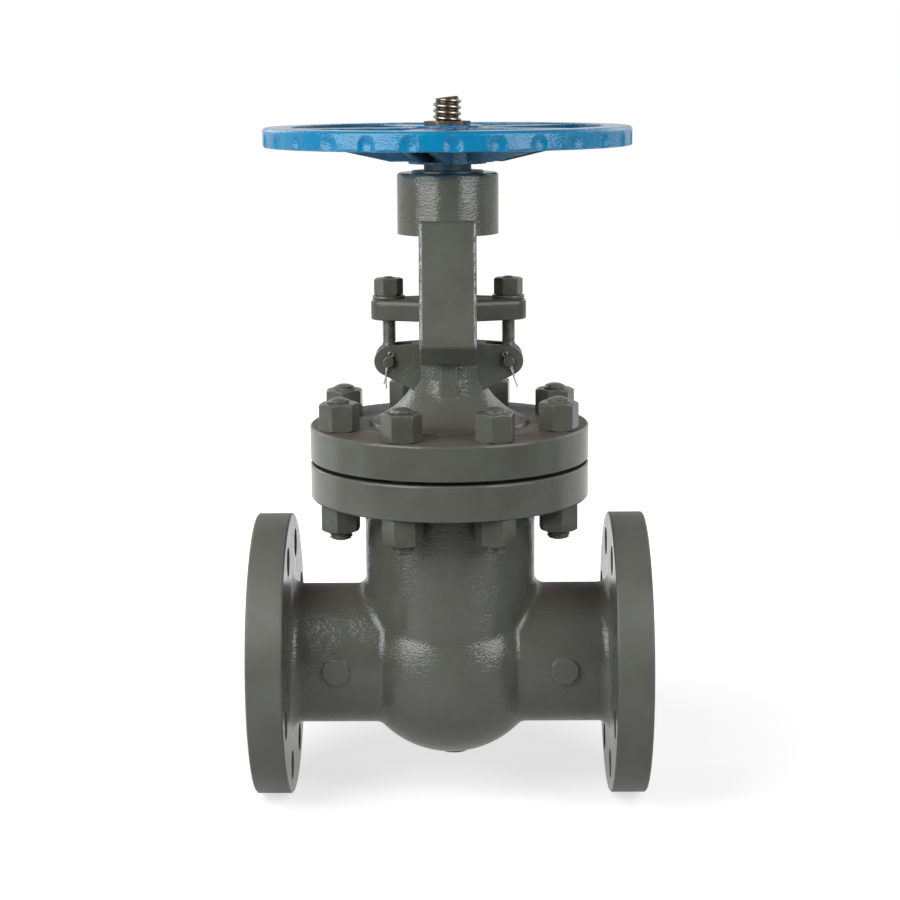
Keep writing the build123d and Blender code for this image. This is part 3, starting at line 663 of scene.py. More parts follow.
@dataclass(frozen=True)
class BareMetal:
    """Turned, ground or rusted bare metal.

    Attributes:
        name: The material's name.
        colour: Clean colour, linear.
        stain: Colour of the browned or oily places.
        roughness: Roughness of a clean place.
        stained: Share of the surface that is stained, 0 to 1.
        metallic: How metallic the clean places are.
        lines: Strength of the turned lines.
        depth: Height of the bumps in metres.
        edge: Radius of the softened edges.
        groove: Distance from the stem's axis under which the surface is darker.
        sprayed: Heights between which the wheel's paint has reached it.
    """

    name: str
    colour: Colour
    stain: Colour
    roughness: float = 0.3
    stained: float = 0.4
    metallic: float = 1.0
    lines: float = 0.4
    depth: float = 0.0001
    edge: float = 0.0004
    groove: float = 0.0
    sprayed: tuple[float, float] | None = None

    def material(self, effects: Effects) -> bpy.types.Material:
        """Build the material.

        Args:
            effects: The shared shader groups.

        Returns:
            The material.
        """
        made, bench = new_material(self.name)
        skin = bench.group(effects.skin, {"Grain Scale": 900.0, "Grain": 0.5, "Peel": 0.0, "Lumps": 0.2})
        edges = bench.group(effects.edges, {"Radius": self.edge})
        lathe = bench.group(effects.turning, {"Along Z": 1.0, "Lines": 4000.0})[0]
        patches = bench.noise(bench.place(), 240.0, 5.0, 0.7)
        stain = bench.fade(patches, 0.72 - 0.5 * self.stained, 0.9 - 0.5 * self.stained)
        coat = Layers(
            bench,
            effects,
            colour=bench.mix(stain, self.colour, self.stain),
            rough=bench.plus(bench.times(stain, 0.25), self.roughness),
            height=bench.plus(bench.times(lathe, self.lines), skin["Height"]),
            metal=bench.times(bench.without(stain, 0.45), self.metallic),
        )
        coat.tint(bench.times(edges["Mask"], 0.5), tuple(min(1.0, 1.4 * part) for part in self.colour))
        if self.groove:
            # Darker near the axis, in the roots of the thread.
            root_dark = bench.fade(bench.axle_distance(), self.groove + 0.5 * MM, self.groove - 0.5 * MM)
            coat.tint(root_dark, ROOT_DARK)
            coat.metal = bench.blend(root_dark, coat.metal, 0.3)
        if self.sprayed:
            spray = bench.between(bench.axes(bench.place())[2], *self.sprayed, 0.2 * MM)
            coat.tint(spray, OVERSPRAY)
            coat.metal = bench.blend(spray, coat.metal, 0.0)
            coat.rough = bench.blend(spray, coat.rough, 0.55)
        coat.finish(self.depth, edges["Normal"])
        return made


THIN_GREEN: Colour = (0.06, 0.06, 0.05)
FINISHES = {
    finish.name: finish
    for finish in (
        Paint("body_paint", (0.098, 0.102, 0.088), (0.082, 0.082, 0.069), edge=0.002, zones=Zones.BODY),
        Paint("bonnet_paint", (0.091, 0.096, 0.082), (0.077, 0.078, 0.064), zones=Zones.BONNET),
        Paint(
            "fastener_paint",
            (0.088, 0.094, 0.078),
            THIN_GREEN,
            grain=0.15,
            lumps=0.2,
            edge=0.0016,
            edge_wear_and_highlight=0.6,
            dust=0.35,
        ),
        Paint(
            "gland_paint",
            (0.076, 0.080, 0.067),
            THIN_GREEN,
            gloss=0.3,
            grain=0.15,
            lumps=0.1,
            edge=0.0035,
            edge_wear_and_highlight=1.0,
        ),
        Paint(
            "wheel_paint",
            (0.0, 0.171, 0.348),
            (0.0, 0.150, 0.303),
            gloss=0.42,
            grain=0.9,
            lumps=0.4,
            edge=0.002,
            edge_wear_and_highlight=0.7,
            dust=0.0,
            zones=Zones.WHEEL,
        ),
        Paint("cap_paint", OVERSPRAY, (0.02, 0.03, 0.04), roughness=0.3, grain=0.5, edge=0.0005, dust=0.1),
        BareMetal("stem_steel", (0.40, 0.355, 0.28), (0.10, 0.065, 0.04), roughness=0.25, groove=0.0108),
        BareMetal("bare_steel", (0.13, 0.13, 0.125), (0.045, 0.042, 0.038), roughness=0.42, stained=0.6),
        BareMetal("pin_wire", (0.30, 0.29, 0.27), (0.10, 0.09, 0.08), roughness=0.35, lines=0.0),
        BareMetal("seat_steel", (0.55, 0.54, 0.52), (0.3, 0.27, 0.23), roughness=0.22, stained=0.2),
        BareMetal("bronze", (0.48, 0.30, 0.13), (0.16, 0.10, 0.05), sprayed=(0.4, 0.44)),
        BareMetal(
            "gasket_graphite",
            (0.012, 0.012, 0.012),
            (0.02, 0.018, 0.015),
            roughness=0.6,
            metallic=0.0,
            stained=0.3,
        ),
        BareMetal(
            "packing_graphite",
            (0.02, 0.02, 0.02),
            (0.03, 0.028, 0.025),
            roughness=0.65,
            metallic=0.0,
            stained=0.3,
        ),
    )
}


# Mesh makers


def placed(name: str, data: bpy.types.ID) -> bpy.types.Object:
    """Put a new object in the scene.

    Args:
        name: The object's name.
        data: Its mesh, curve, lamp or camera.

    Returns:
        The object, at the origin.
    """
    made = bpy.data.objects.new(name, data)
    bpy.context.scene.collection.objects.link(made)
    return made


def worked_out(holder: bpy.types.Object) -> bpy.types.Mesh:
    """Plain mesh that an object's tree or curve makes. The object is removed.

    Args:
        holder: The object.

    Returns:
        The plain mesh.
    """
    graph = bpy.context.evaluated_depsgraph_get()
    made = bpy.data.meshes.new_from_object(holder.evaluated_get(graph), depsgraph=graph)
    bpy.data.objects.remove(holder)
    return made


def finished_mesh(name: str, mesh: bpy.types.Mesh, sharp: float = 35.0) -> bpy.types.Object:
    """Put a mesh in the scene with smooth faces and sharp creases, facing outwards.

    Args:
        name: The piece's name.
        mesh: The mesh, in place.
        sharp: Angle in degrees past which an edge stays sharp.

    Returns:
        The object, at the origin.
    """
    work = bmesh.new()
    work.from_mesh(mesh)
    bmesh.ops.remove_doubles(work, verts=work.verts, dist=1e-7)
    bmesh.ops.dissolve_degenerate(work, dist=1e-7, edges=work.edges)
    bmesh.ops.recalc_face_normals(work, faces=work.faces)
    for face in work.faces:
        face.smooth = True
    work.to_mesh(mesh)
    work.free()
    mesh.set_sharp_from_angle(angle=math.radians(sharp))
    mesh.name = name
    return placed(name, mesh)


def as_mesh(work: bmesh.types.BMesh) -> bpy.types.Mesh:
    """Turn a bmesh into a plain mesh and free it.

    Args:
        work: The bmesh.

    Returns:
        The plain mesh.
    """
    made = bpy.data.meshes.new("shape")
    work.to_mesh(made)
    work.free()
    return made


def merged(parts: list[bpy.types.Mesh]) -> bpy.types.Mesh:
    """Join several meshes into one.

    Args:
        parts: The meshes.

    Returns:
        One mesh with all their faces.
    """
    work = bmesh.new()
    for part in parts:
        work.from_mesh(part)
    return as_mesh(work)


def turned(profile: list[tuple[float, float]], steps: int = 64) -> bpy.types.Mesh:
    """Closed shape turned about the vertical axis through the origin.

    Args:
        profile: Radius and height of each point, from the bottom's centre to the top's centre.
        steps: Faces round it.

    Returns:
        The shape.
    """
    work = bmesh.new()
    ways = [2 * math.pi * step / steps for step in range(steps)]
    rings = []
    for radius, height in profile:
        if radius:
            spots = [(radius * math.cos(way), radius * math.sin(way), height) for way in ways]
        else:
            spots = [(0.0, 0.0, height)]
        rings.append([work.verts.new(spot) for spot in spots])
    for low, high in zip(rings, rings[1:]):
        for i in range(steps):
            j = (i + 1) % steps
            corners = [low[i % len(low)], low[j % len(low)], high[j % len(high)], high[i % len(high)]]
            unique = list(dict.fromkeys(corners))
            if len(unique) > 2:
                work.faces.new(unique)
    return as_mesh(work)


class GeometryTree:
    """A geometry node tree with named inputs that makes one plain mesh.

    Args:
        name: The tree's name.
    """

    def __init__(self, name: str) -> None:
        """Start the tree with a geometry output."""
        self.tree = bpy.data.node_groups.new(name, "GeometryNodeTree")
        self.bench = Bench(self.tree)
        self.tree.interface.new_socket("Geometry", in_out="OUTPUT", socket_type="NodeSocketGeometry")

    def inputs(self, sockets: dict[str, str]) -> dict[str, Socket]:
        """Args:
            sockets: Input names and their socket types.

        Returns:
            The sockets to link from, by name.
        """
        for label, kind in sockets.items():
            self.tree.interface.new_socket(label, in_out="INPUT", socket_type=kind)
        source = self.bench.node("NodeGroupInput")
        return {label: source.outputs[label] for label in sockets}

    def close(self, geometry: Socket, material: Socket) -> None:
        """End the tree in Realize Instances and Set Material.

        Args:
            geometry: What the tree has made.
            material: The material input.
        """
        real = self.bench.node("GeometryNodeRealizeInstances", {0: geometry}).outputs[0]
        painted = self.bench.node("GeometryNodeSetMaterial", {"Geometry": real, "Material": material})
        self.bench.node("NodeGroupOutput", {0: painted.outputs[0]})

    def mesh(self, values: dict[str, object]) -> bpy.types.Mesh:
        """Run the tree.

        Args:
            values: Input values by name.

        Returns:
            The plain mesh that it makes.
        """
        holder = placed("holder", bpy.data.meshes.new("holder"))
        modifier = holder.modifiers.new("tree", "NODES")
        modifier.node_group = self.tree
        for item in self.tree.interface.items_tree:
            if item.item_type == "SOCKET" and item.in_out == "INPUT" and item.name in values:
                modifier[item.identifier] = values[item.name]
        holder.update_tag()
        return worked_out(holder)


def screw_tree() -> GeometryTree:
    """Tree of one closed thread ridge, wound round a rod as a helix that fades at both ends.

    Returns:
        The tree.
    """
    made = GeometryTree("screw_thread")
    bench = made.bench
    sizes = ("Pitch", "Turns", "Root", "Depth", "Crest", "Foot", "Start", "Hand")
    sockets = dict.fromkeys(sizes, "NodeSocketFloat")
    given = made.inputs({**sockets, "Sections": "NodeSocketInt", "Material": "NodeSocketMaterial"})
    shape = {"Size X": 1.0, "Size Y": 1.0, "Vertices X": given["Sections"], "Vertices Y": 5}
    grid = bench.node("GeometryNodeMeshGrid", shape)
    where = bench.axes(bench.node("GeometryNodeInputPosition").outputs[0])
    along = bench.plus(where[0], 0.5)
    corner = bench.math("ROUND", bench.times(bench.plus(where[1], 0.5), 4.0))

    def chosen(items: list[object]) -> Socket:
        """Pick a value for each of the five corners of the ridge's section.

        Args:
            items: The five values or sockets.

        Returns:
            The value at each corner.
        """
        pick = bench.node("GeometryNodeIndexSwitch", data_type="FLOAT")
        while len(pick.index_switch_items) < len(items):
            pick.index_switch_items.new()
        bench.feed(corner, pick.inputs[0])
        for slot, item in enumerate(items):
            bench.feed(item, pick.inputs[slot + 1])
        return pick.outputs[0]

    turn = bench.times(along, given["Turns"])
    left = bench.math("SUBTRACT", given["Turns"], turn)
    fade = bench.times(bench.math("MINIMUM", turn, left), 1.6, clamp=True)
    half_crest, half_foot = bench.times(given["Crest"], 0.5), bench.times(given["Foot"], 0.5)
    low_crest, low_foot = bench.times(half_crest, -1.0), bench.times(half_foot, -1.0)
    sideways = bench.times(chosen([low_foot, low_crest, half_crest, half_foot, low_foot]), fade)
    outward = bench.times(chosen([0.0, given["Depth"], given["Depth"], 0.0, 0.0]), fade)
    radius = bench.plus(given["Root"], outward)
    angle = bench.times(bench.times(turn, given["Hand"]), 2 * math.pi)
    height = bench.plus(bench.plus(bench.times(turn, given["Pitch"]), given["Start"]), sideways)
    x = bench.times(radius, bench.math("COSINE", angle))
    y = bench.times(radius, bench.math("SINE", angle))
    spot = bench.node("ShaderNodeCombineXYZ", {0: x, 1: y, 2: height}).outputs[0]
    wound = bench.node("GeometryNodeSetPosition", {"Geometry": grid.outputs[0], "Position": spot}).outputs[0]
    joined = bench.node("GeometryNodeMergeByDistance", {"Geometry": wound, "Distance": 1e-6}).outputs[0]
    made.close(joined, given["Material"])
    return made


def bolt_circle_tree() -> GeometryTree:
    """Tree that sets copies of one bolt round a circle, each turned by a fixed random angle.

    Returns:
        The tree.
    """
    made = GeometryTree("bolt_circle")
    bench = made.bench
    given = made.inputs(
        {
            "Bolt": "NodeSocketObject",
            "Count": "NodeSocketInt",
            "Radius": "NodeSocketFloat",
            "First Angle": "NodeSocketFloat",
            "Centre": "NodeSocketVector",
            "Material": "NodeSocketMaterial",
        }
    )
    circle = bench.node("GeometryNodeMeshCircle", {"Vertices": given["Count"], "Radius": given["Radius"]})
    turn = bench.node("ShaderNodeCombineXYZ", {2: given["First Angle"]}).outputs[0]
    placing = {"Geometry": circle.outputs[0], "Translation": given["Centre"], "Rotation": turn}
    ring = bench.node("GeometryNodeTransform", placing)
    bolt = bench.node("GeometryNodeObjectInfo", {"Object": given["Bolt"]}).outputs["Geometry"]
    draw = {0: (0.0, 0.0, 0.0), 1: (0.0, 0.0, 6.28), "Seed": 5}
    spin = bench.node("FunctionNodeRandomValue", draw, data_type="FLOAT_VECTOR")
    copying = {"Points": ring.outputs[0], "Instance": bolt, "Rotation": spin.outputs[0]}
    copies = bench.node("GeometryNodeInstanceOnPoints", copying)
    made.close(copies.outputs[0], given["Material"])
    return made


@dataclass(frozen=True)
class Thread:
    """Sizes of one screw thread.

    Attributes:
        pitch: Height of one turn.
        crest_radius: Radius over the crests.
        depth: Depth of the thread.
        crest: Width of the crest.
        foot: Width of the ridge at its foot.
        hand: 1 for right-hand, -1 for left-hand.
    """

    pitch: float
    crest_radius: float
    depth: float
    crest: float
    foot: float
    hand: float = 1.0

    def root(self) -> float:
        """Radius at the bottom of the thread."""
        return self.crest_radius - self.depth

    def ridge(
        self, tree: GeometryTree, low: float, high: float, material: bpy.types.Material
    ) -> bpy.types.Mesh:
        """Ridge between two heights, about the vertical axis through the origin.

        Args:
            tree: The thread tree.
            low: Where it starts.
            high: Where it ends.
            material: Its material.

        Returns:
            The ridge, sunk a little into the rod.
        """
        turns = (high - low) / self.pitch
        sink = 0.05 * MM
        return tree.mesh(
            {
                "Pitch": self.pitch,
                "Turns": turns,
                "Root": self.root() - sink,
                "Depth": self.depth + sink,
                "Crest": self.crest,
                "Foot": self.foot,
                "Start": low,
                "Hand": self.hand,
                "Sections": int(turns * 48) + 2,
                "Material": material,
            }
        )


class Shop:
    """Holds what the sub-assemblies share: effects, finishes and trees."""

    def __init__(self) -> None:
        """Build the shared groups, materials and trees."""
        self.effects = Effects()
        self.materials = {name: finish.material(self.effects) for name, finish in FINISHES.items()}
        self.screw = screw_tree()
        self.circle = bolt_circle_tree()

    def paint(self, piece: bpy.types.Object, finish: str) -> None:
        """Give a new piece one material.

        Args:
            piece: The piece.
            finish: The finish's name.
        """
        piece.data.materials.clear()
        piece.data.materials.append(self.materials[finish])

    def coat(self, nodes: list[str], finish: str) -> None:
        """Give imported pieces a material.

        Args:
            nodes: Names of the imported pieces.
            finish: The finish's name.
        """
        for name in nodes:
            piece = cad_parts[name]
            if not piece.material_slots:
                piece.data.materials.append(self.materials[finish])
            for slot in piece.material_slots:
                slot.material = self.materials[finish]
            LOG.info("coated %s with %s", name, finish)

    def settle(self, piece: bpy.types.Object, body: str, stands_for: tuple[str, ...] = ()) -> None:
        """Ride a piece on a body.

        Args:
            piece: The piece, in place.
            body: The body that it moves with.
            stands_for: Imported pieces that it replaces.
        """
        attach(piece, body)
        if stands_for:
            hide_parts(*stands_for)
        LOG.info("made %s with %d faces", piece.name, len(piece.data.polygons))


@dataclass
class Castings:
    """Painted castings, seats and gaskets.

    Attributes:
        painted: Finish of each casting.
        inner: Finish of each inner piece.
    """

    painted: dict[str, str] = field(
        default_factory=lambda: {
            "body": "body_paint",
            "bonnet": "bonnet_paint",
            "gland_flange": "gland_paint",
            "bonnet_gasket": "gasket_graphite",
            "packing_rings": "packing_graphite",
            "gland_bush": "bare_steel",
        }
    )
    inner: dict[str, str] = field(
        default_factory=lambda: {
            "seat_ring_left": "seat_steel",
            "seat_ring_right": "seat_steel",
            "gate_disc_left": "seat_steel",
            "gate_disc_right": "seat_steel",
            "gate_spreader": "bare_steel",
        }
    )

    def build(self, shop: Shop) -> None:
        """Dress the castings.

        Args:
            shop: The shared materials and trees.
        """
        for name, finish in {**self.painted, **self.inner}.items():
            shop.coat([name], finish)


@dataclass
class Bolting:
    """Studs and nuts of the bonnet joint, and the eye bolts of the gland.

    Attributes:
        thread: Stud thread.
        count: Number of studs.
        circle: Radius of the stud circle.
        bottom: Lower end of the studs.
        top: Upper end of the studs.
        dome: Height of the domed ends.
        runout: Bare length at each end of a stud.
        plain: Heights between which the shank is plain.
        eye_thread: Eye bolt thread.
        eye_radius: Outer radius of the eyes.
        eye_width: Width of the eyes.
        eye_edge: Rounding of the eyes' rims.
        eye_flare: How much wider than the shank the rod is at the eye's middle and at its rim.
        eye_neck: Heights over the eye's rim where the neck ends, the shank ends and the screw starts.
    """

    thread: Thread = Thread(2.5 * MM, 9.95 * MM, 1.35 * MM, 0.5 * MM, 2.1 * MM)
    count: int = 8
    circle: float = 102 * MM
    bottom: float = 112.5 * MM
    top: float = 237.5 * MM
    dome: float = 1.8 * MM
    runout: float = 1.5 * MM
    plain: tuple[float, float] = (150 * MM, 200 * MM)
    eye_thread: Thread = Thread(1.75 * MM, 5.95 * MM, 0.95 * MM, 0.35 * MM, 1.5 * MM)
    eye_radius: float = 11 * MM
    eye_width: float = 15.6 * MM
    eye_edge: float = 1.2 * MM
    eye_flare: tuple[float, float] = (1.6 * MM, 1.2 * MM)
    eye_neck: Point = (3 * MM, 4.5 * MM, 5.5 * MM)

    def build(self, shop: Shop) -> None:
        """Make the threaded rods and paint the nuts.

        Args:
            shop: The shared materials and trees.
        """
        numbers = range(1, self.count + 1)
        shop.coat([f"bonnet_nut_{n}" for n in numbers] + ["bonnet_lower_nuts"], "fastener_paint")
        for kind in ("gland_nut", "gland_washer", "eye_pin"):
            shop.coat([f"{kind}_left", f"{kind}_right"], "fastener_paint")
        self._studs(shop)
        for side, word in ((-1, "left"), (1, "right")):
            self._eye_bolt(shop, side, word)

    def _studs(self, shop: Shop) -> None:
        """Make one mesh of all the studs, threaded at both ends with domed tips.

        Args:
            shop: The shared materials and trees.
        """
        paint = shop.materials["fastener_paint"]
        root, crest, dome = self.thread.root(), self.thread.crest_radius, self.dome
        cap, drop = 0.55 * root, 0.12 * dome
        rod = turned(
            [
                (0.0, self.bottom),
                (cap, self.bottom + drop),
                (root, self.bottom + dome),
                (root, self.plain[0] - crest + root),
                (crest, self.plain[0]),
                (crest, self.plain[1]),
                (root, self.plain[1] + crest - root),
                (root, self.top - dome),
                (cap, self.top - drop),
                (0.0, self.top),
            ],
            steps=40,
        )
        low = self.thread.ridge(shop.screw, self.bottom + self.runout, self.plain[0], paint)
        high = self.thread.ridge(shop.screw, self.plain[1], self.top - self.runout, paint)
        pattern = finished_mesh("stud_pattern", merged([rod, low, high]))
        mesh = shop.circle.mesh(
            {
                "Bolt": pattern,
                "Count": self.count,
                "Radius": self.circle,
                "First Angle": math.pi / self.count,
                "Centre": (STEM_X, 0.0, 0.0),
                "Material": paint,
            }
        )
        bpy.data.objects.remove(pattern)
        studs = finished_mesh("bonnet_studs", mesh)
        shop.paint(studs, "fastener_paint")
        packed = tuple(f"bonnet_stud_{n}" for n in range(1, self.count + 1))
        shop.settle(studs, "root", packed)

    def _eye_bolt(self, shop: Shop, side: int, word: str) -> None:
        """Make an eye bolt with a forged eye that flows into its threaded shank.

        Args:
            shop: The shared materials and trees.
            side: 1 for the right of the stem, -1 for the left.
            word: The side's word in the piece's name.
        """
        paint = shop.materials["fastener_paint"]
        root, crest = self.eye_thread.root(), self.eye_thread.crest_radius
        foot = self.eye_radius * 0.9
        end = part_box(f"eye_bolt_{word}")[1].z - EYE_HEIGHT
        rod = turned(
            [
                (0.0, 0.0),
                (crest + self.eye_flare[0], 0.0),
                (crest + self.eye_flare[1], foot),
                (crest, foot + self.eye_neck[0]),
                (crest, foot + self.eye_neck[1]),
                (root, foot + self.eye_neck[2]),
                (root, end - 1.2 * MM),
                (0.6 * root, end - 0.1 * MM),
                (0.0, end),
            ],
            steps=40,
        )
        ridge = self.eye_thread.ridge(shop.screw, foot + 5 * MM, end - 0.8 * MM, paint)
        eye = turned(self._eye_profile())
        eye.transform(Matrix.Rotation(math.pi / 2, 4, "X"))
        whole = merged([rod, ridge, eye])
        whole.transform(Matrix.Translation((STEM_X + side * EYE_SPREAD, 0.0, EYE_HEIGHT)))
        piece = finished_mesh(f"eye_bolt_rod_{word}", whole)
        shop.paint(piece, "fastener_paint")
        shop.settle(piece, "root", (f"eye_bolt_{word}",))

    def _eye_profile(self) -> list[tuple[float, float]]:
        """Draw the eye, a solid round boss with rounded rims that its pin fills.

        Returns:
            Radius and height of each point of half its section.
        """
        half, outer, edge = self.eye_width / 2, self.eye_radius, self.eye_edge
        rims = [(outer - edge, -half), (outer, edge - half), (outer, half - edge), (outer - edge, half)]
        return [(0.0, -half), *rims, (0.0, half)]


@dataclass(frozen=True)
class BentPin:
    """Shape of one split pin, seen from the front and measured from its eye bolt's pin.

    Attributes:
        ring: Centre of the ring at the head.
        throat: Where the legs leave the pin's hole.
        long_leg: End of the long leg.
        short_leg: End of the short leg.
    """

    ring: tuple[float, float]
    throat: tuple[float, float]
    long_leg: tuple[float, float]
    short_leg: tuple[float, float]


@dataclass
class SplitPins:
    """Bent wire pins through the ends of the eye bolts' pins.

    Attributes:
        wire: Radius of one leg.
        ring_radius: Radius of the ring at the head, to the wire's middle.
        depth: How far in front of the stem they sit.
        depth: How far in front of the stem they sit.
        forward: How far the long and the short leg's ends stand out, in millimetres.
        ring_gap: Turn in degrees from the throat to each end of the ring's bend.
        ring_steps: Points round the ring, less one.
        left: Shape of the left pin.
        right: Shape of the right pin.
    """

    wire: float = 0.6 * MM
    ring_radius: float = 2.1 * MM
    depth: float = -18.5 * MM
    forward: tuple[float, float] = (1.4, 0.4)
    ring_gap: float = 35.0
    ring_steps: int = 8
    left: BentPin = BentPin((2.1, 6.6), (-1.7, -5.3), (-2.2, -23.3), (-4.3, -19.5))
    right: BentPin = BentPin((-3.2, 6.1), (2.0, -5.3), (7.4, -22.0), (5.0, -14.0))

    def build(self, shop: Shop) -> None:
        """Bend one pin at each side.

        Args:
            shop: The shared materials and trees.
        """
        for side, word, shape in ((-1, "left", self.left), (1, "right", self.right)):
            piece = finished_mesh(f"split_pin_{word}", self._tube(self._line(side, shape)))
            shop.paint(piece, "pin_wire")
            shop.settle(piece, "root")

    def _line(self, side: int, shape: BentPin) -> list[Point]:
        """Lay out the wire, from one leg's end round the ring to the other's.

        Args:
            side: 1 for the right of the stem, -1 for the left.
            shape: The pin's shape.

        Returns:
            Points along the wire.
        """
        middle = Vector((STEM_X + side * EYE_SPREAD, self.depth, EYE_HEIGHT))

        def spot(place: tuple[float, float], forward: float = 0.0) -> Vector:
            """Point at a place in millimetres, brought forward by some millimetres."""
            return middle + Vector((place[0], -forward, place[1])) * MM

        ring, throat = spot(shape.ring), spot(shape.throat)
        along = (ring - throat).normalized()
        aside = along.cross(Vector((0.0, 1.0, 0.0))) * self.wire
        points = []
        legs = zip((shape.long_leg, shape.short_leg), (1, -1), self.forward)
        for leg, hand, forward in legs:
            end, lean = spot(leg, forward), hand * aside
            knees = [throat.lerp(end, 0.55) + lean * 0.6, throat + lean + (end - throat) * 0.12]
            points.append([end, *knees, throat + lean, middle + lean, middle.lerp(ring, 0.5) + lean])
        start = math.atan2(-along.z, -along.x)
        sweep = 360 - 2 * self.ring_gap
        steps = range(self.ring_steps + 1)
        turns = [start + math.radians(self.ring_gap + sweep * step / self.ring_steps) for step in steps]
        loop = [ring + Vector((math.cos(turn), 0.0, math.sin(turn))) * self.ring_radius for turn in turns]
        if (loop[0] - points[0][-1]).length > (loop[-1] - points[0][-1]).length:
            loop.reverse()
        return [tuple(point) for point in points[0] + loop + points[1][::-1]]

    def _tube(self, points: list[Point]) -> bpy.types.Mesh:
        """Run round wire along a smooth line.

        Args:
            points: Points that guide the line.

        Returns:
            The wire.
        """
        curve = bpy.data.curves.new("wire", "CURVE")
        curve.dimensions = "3D"
        curve.bevel_depth = self.wire
        curve.bevel_resolution = 3
        curve.use_fill_caps = True
        line = curve.splines.new("NURBS")
        line.points.add(len(points) - 1)
        for knot, spot in zip(line.points, points):
            knot.co = (*spot, 1.0)
        line.order_u = 3
        line.use_endpoint_u = True
        line.resolution_u = 6
        return worked_out(placed("wire", curve))


@dataclass
class StemAndWheel:
    """The rising stem with its left-hand screw, the yoke nut and the handwheel.

    Attributes:
        thread: Stem thread.
        thread_low: Lowest turn of the thread.
        thread_high: Highest turn of the thread.
        top: Top of the stem.
        tail_radius: Radius between the head and the foot.
        tail_top: Height where the stem takes its full radius.
        head: Width, depth and height of the head in the gate.
        head_middle: Height of the head's middle.
        collar_radius: Radius of the backseat collar.
        collar: Heights of the collar's bottom, rim and top.
        slant: Slope of the sawn end.
        sawn: How far the end is cut down at the axis.
        slant_depth: Length over which the slant fades out.
    """

    thread: Thread = Thread(5.2 * MM, 12.2 * MM, 2.5 * MM, 1.0 * MM, 4.3 * MM, hand=-1.0)
    thread_low: float = 331 * MM
    thread_high: float = 490.5 * MM
    top: float = 492 * MM
    tail_radius: float = 9 * MM - 0.3 * MM
    tail_top: float = 72 * MM
    head: Point = (17.7 * MM, 28 * MM, 12 * MM)
    head_middle: float = 54 * MM
    collar_radius: float = 17 * MM
    collar: Point = (78 * MM, 82 * MM, 86 * MM)
    slant: float = 0.12
    sawn: float = 1.3 * MM
    slant_depth: float = 2.5 * MM

    def build(self, shop: Shop) -> None:
        """Make the stem and paint the wheel.

        Args:
            shop: The shared materials and trees.
        """
        shop.coat(["handwheel"], "wheel_paint")
        shop.coat(["hub_cap"], "cap_paint")
        shop.coat(["yoke_nut"], "bronze")
        shop.coat(["handwheel_lock_nut"], "bare_steel")
        self._stem(shop)

    def _stem(self, shop: Shop) -> None:
        """Make the stem with its head, backseat collar, plain length and screw.

        Args:
            shop: The shared materials and trees.
        """
        root, crest = self.thread.root(), self.thread.crest_radius
        profile = [
            (0.0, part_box("stem")[0].z),
            (self.tail_radius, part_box("stem")[0].z),
            (self.tail_radius, self.tail_top),
            (crest, self.tail_top + 0.3 * MM),
            (crest, self.collar[0]),
            (self.collar_radius, self.collar[0]),
            (self.collar_radius, self.collar[1]),
            (crest, self.collar[2]),
            (crest, self.thread_low - 1.5 * MM),
            (root, self.thread_low + 1.0 * MM),
            (root, self.top - 1.2 * MM),
            (root - 1.0 * MM, self.top - 0.15 * MM),
            (0.6 * root, self.top),
            (0.0, self.top - 0.2 * MM),
        ]
        ridge = self.thread.ridge(shop.screw, self.thread_low, self.thread_high, shop.materials["stem_steel"])
        cube = bmesh.new()
        bmesh.ops.create_cube(cube, size=1.0)
        head = as_mesh(cube)
        head.transform(Matrix.Translation((0.0, 0.0, self.head_middle)) @ Matrix.Diagonal((*self.head, 1.0)))
        whole = merged([turned(profile), ridge, head])
        whole.transform(Matrix.Translation((STEM_X, 0.0, 0.0)))
        for vertex in whole.vertices:
            away = vertex.co - Vector((STEM_X, 0.0, self.top))
            if away.z > -self.slant_depth:
                vertex.co.z += (away.x * self.slant - self.sawn) * max(0.0, 1 + away.z / self.slant_depth)
        piece = finished_mesh("stem_screw", whole, sharp=28.0)
        shop.paint(piece, "stem_steel")
        shop.settle(piece, "stem", ("stem",))


@dataclass(frozen=True)
class SoftBox:
    """One soft lamp.

    Attributes:
        name: The lamp's name.
        spot: Where it stands.
        towards: The way that it faces.
        size: Its width and height.
        brightness: Its brightness, where 1 is a white wall in full light.
    """

    name: str
    spot: Point
    towards: Point
    size: tuple[float, float]
    brightness: float

    def build(self) -> None:
        """Set up the lamp."""
        data = bpy.data.lights.new(self.name, "AREA")
        data.shape = "RECTANGLE"
        data.size, data.size_y = self.size
        data.energy = self.brightness * math.pi * self.size[0] * self.size[1]
        lamp = placed(self.name, data)
        lamp.location = self.spot
        lamp.rotation_mode = "QUATERNION"
        lamp.rotation_quaternion = Vector(self.towards).to_track_quat("-Z", "Y")
        lamp.visible_camera = False


AHEAD: Point = (0.0, 1.0, 0.0)


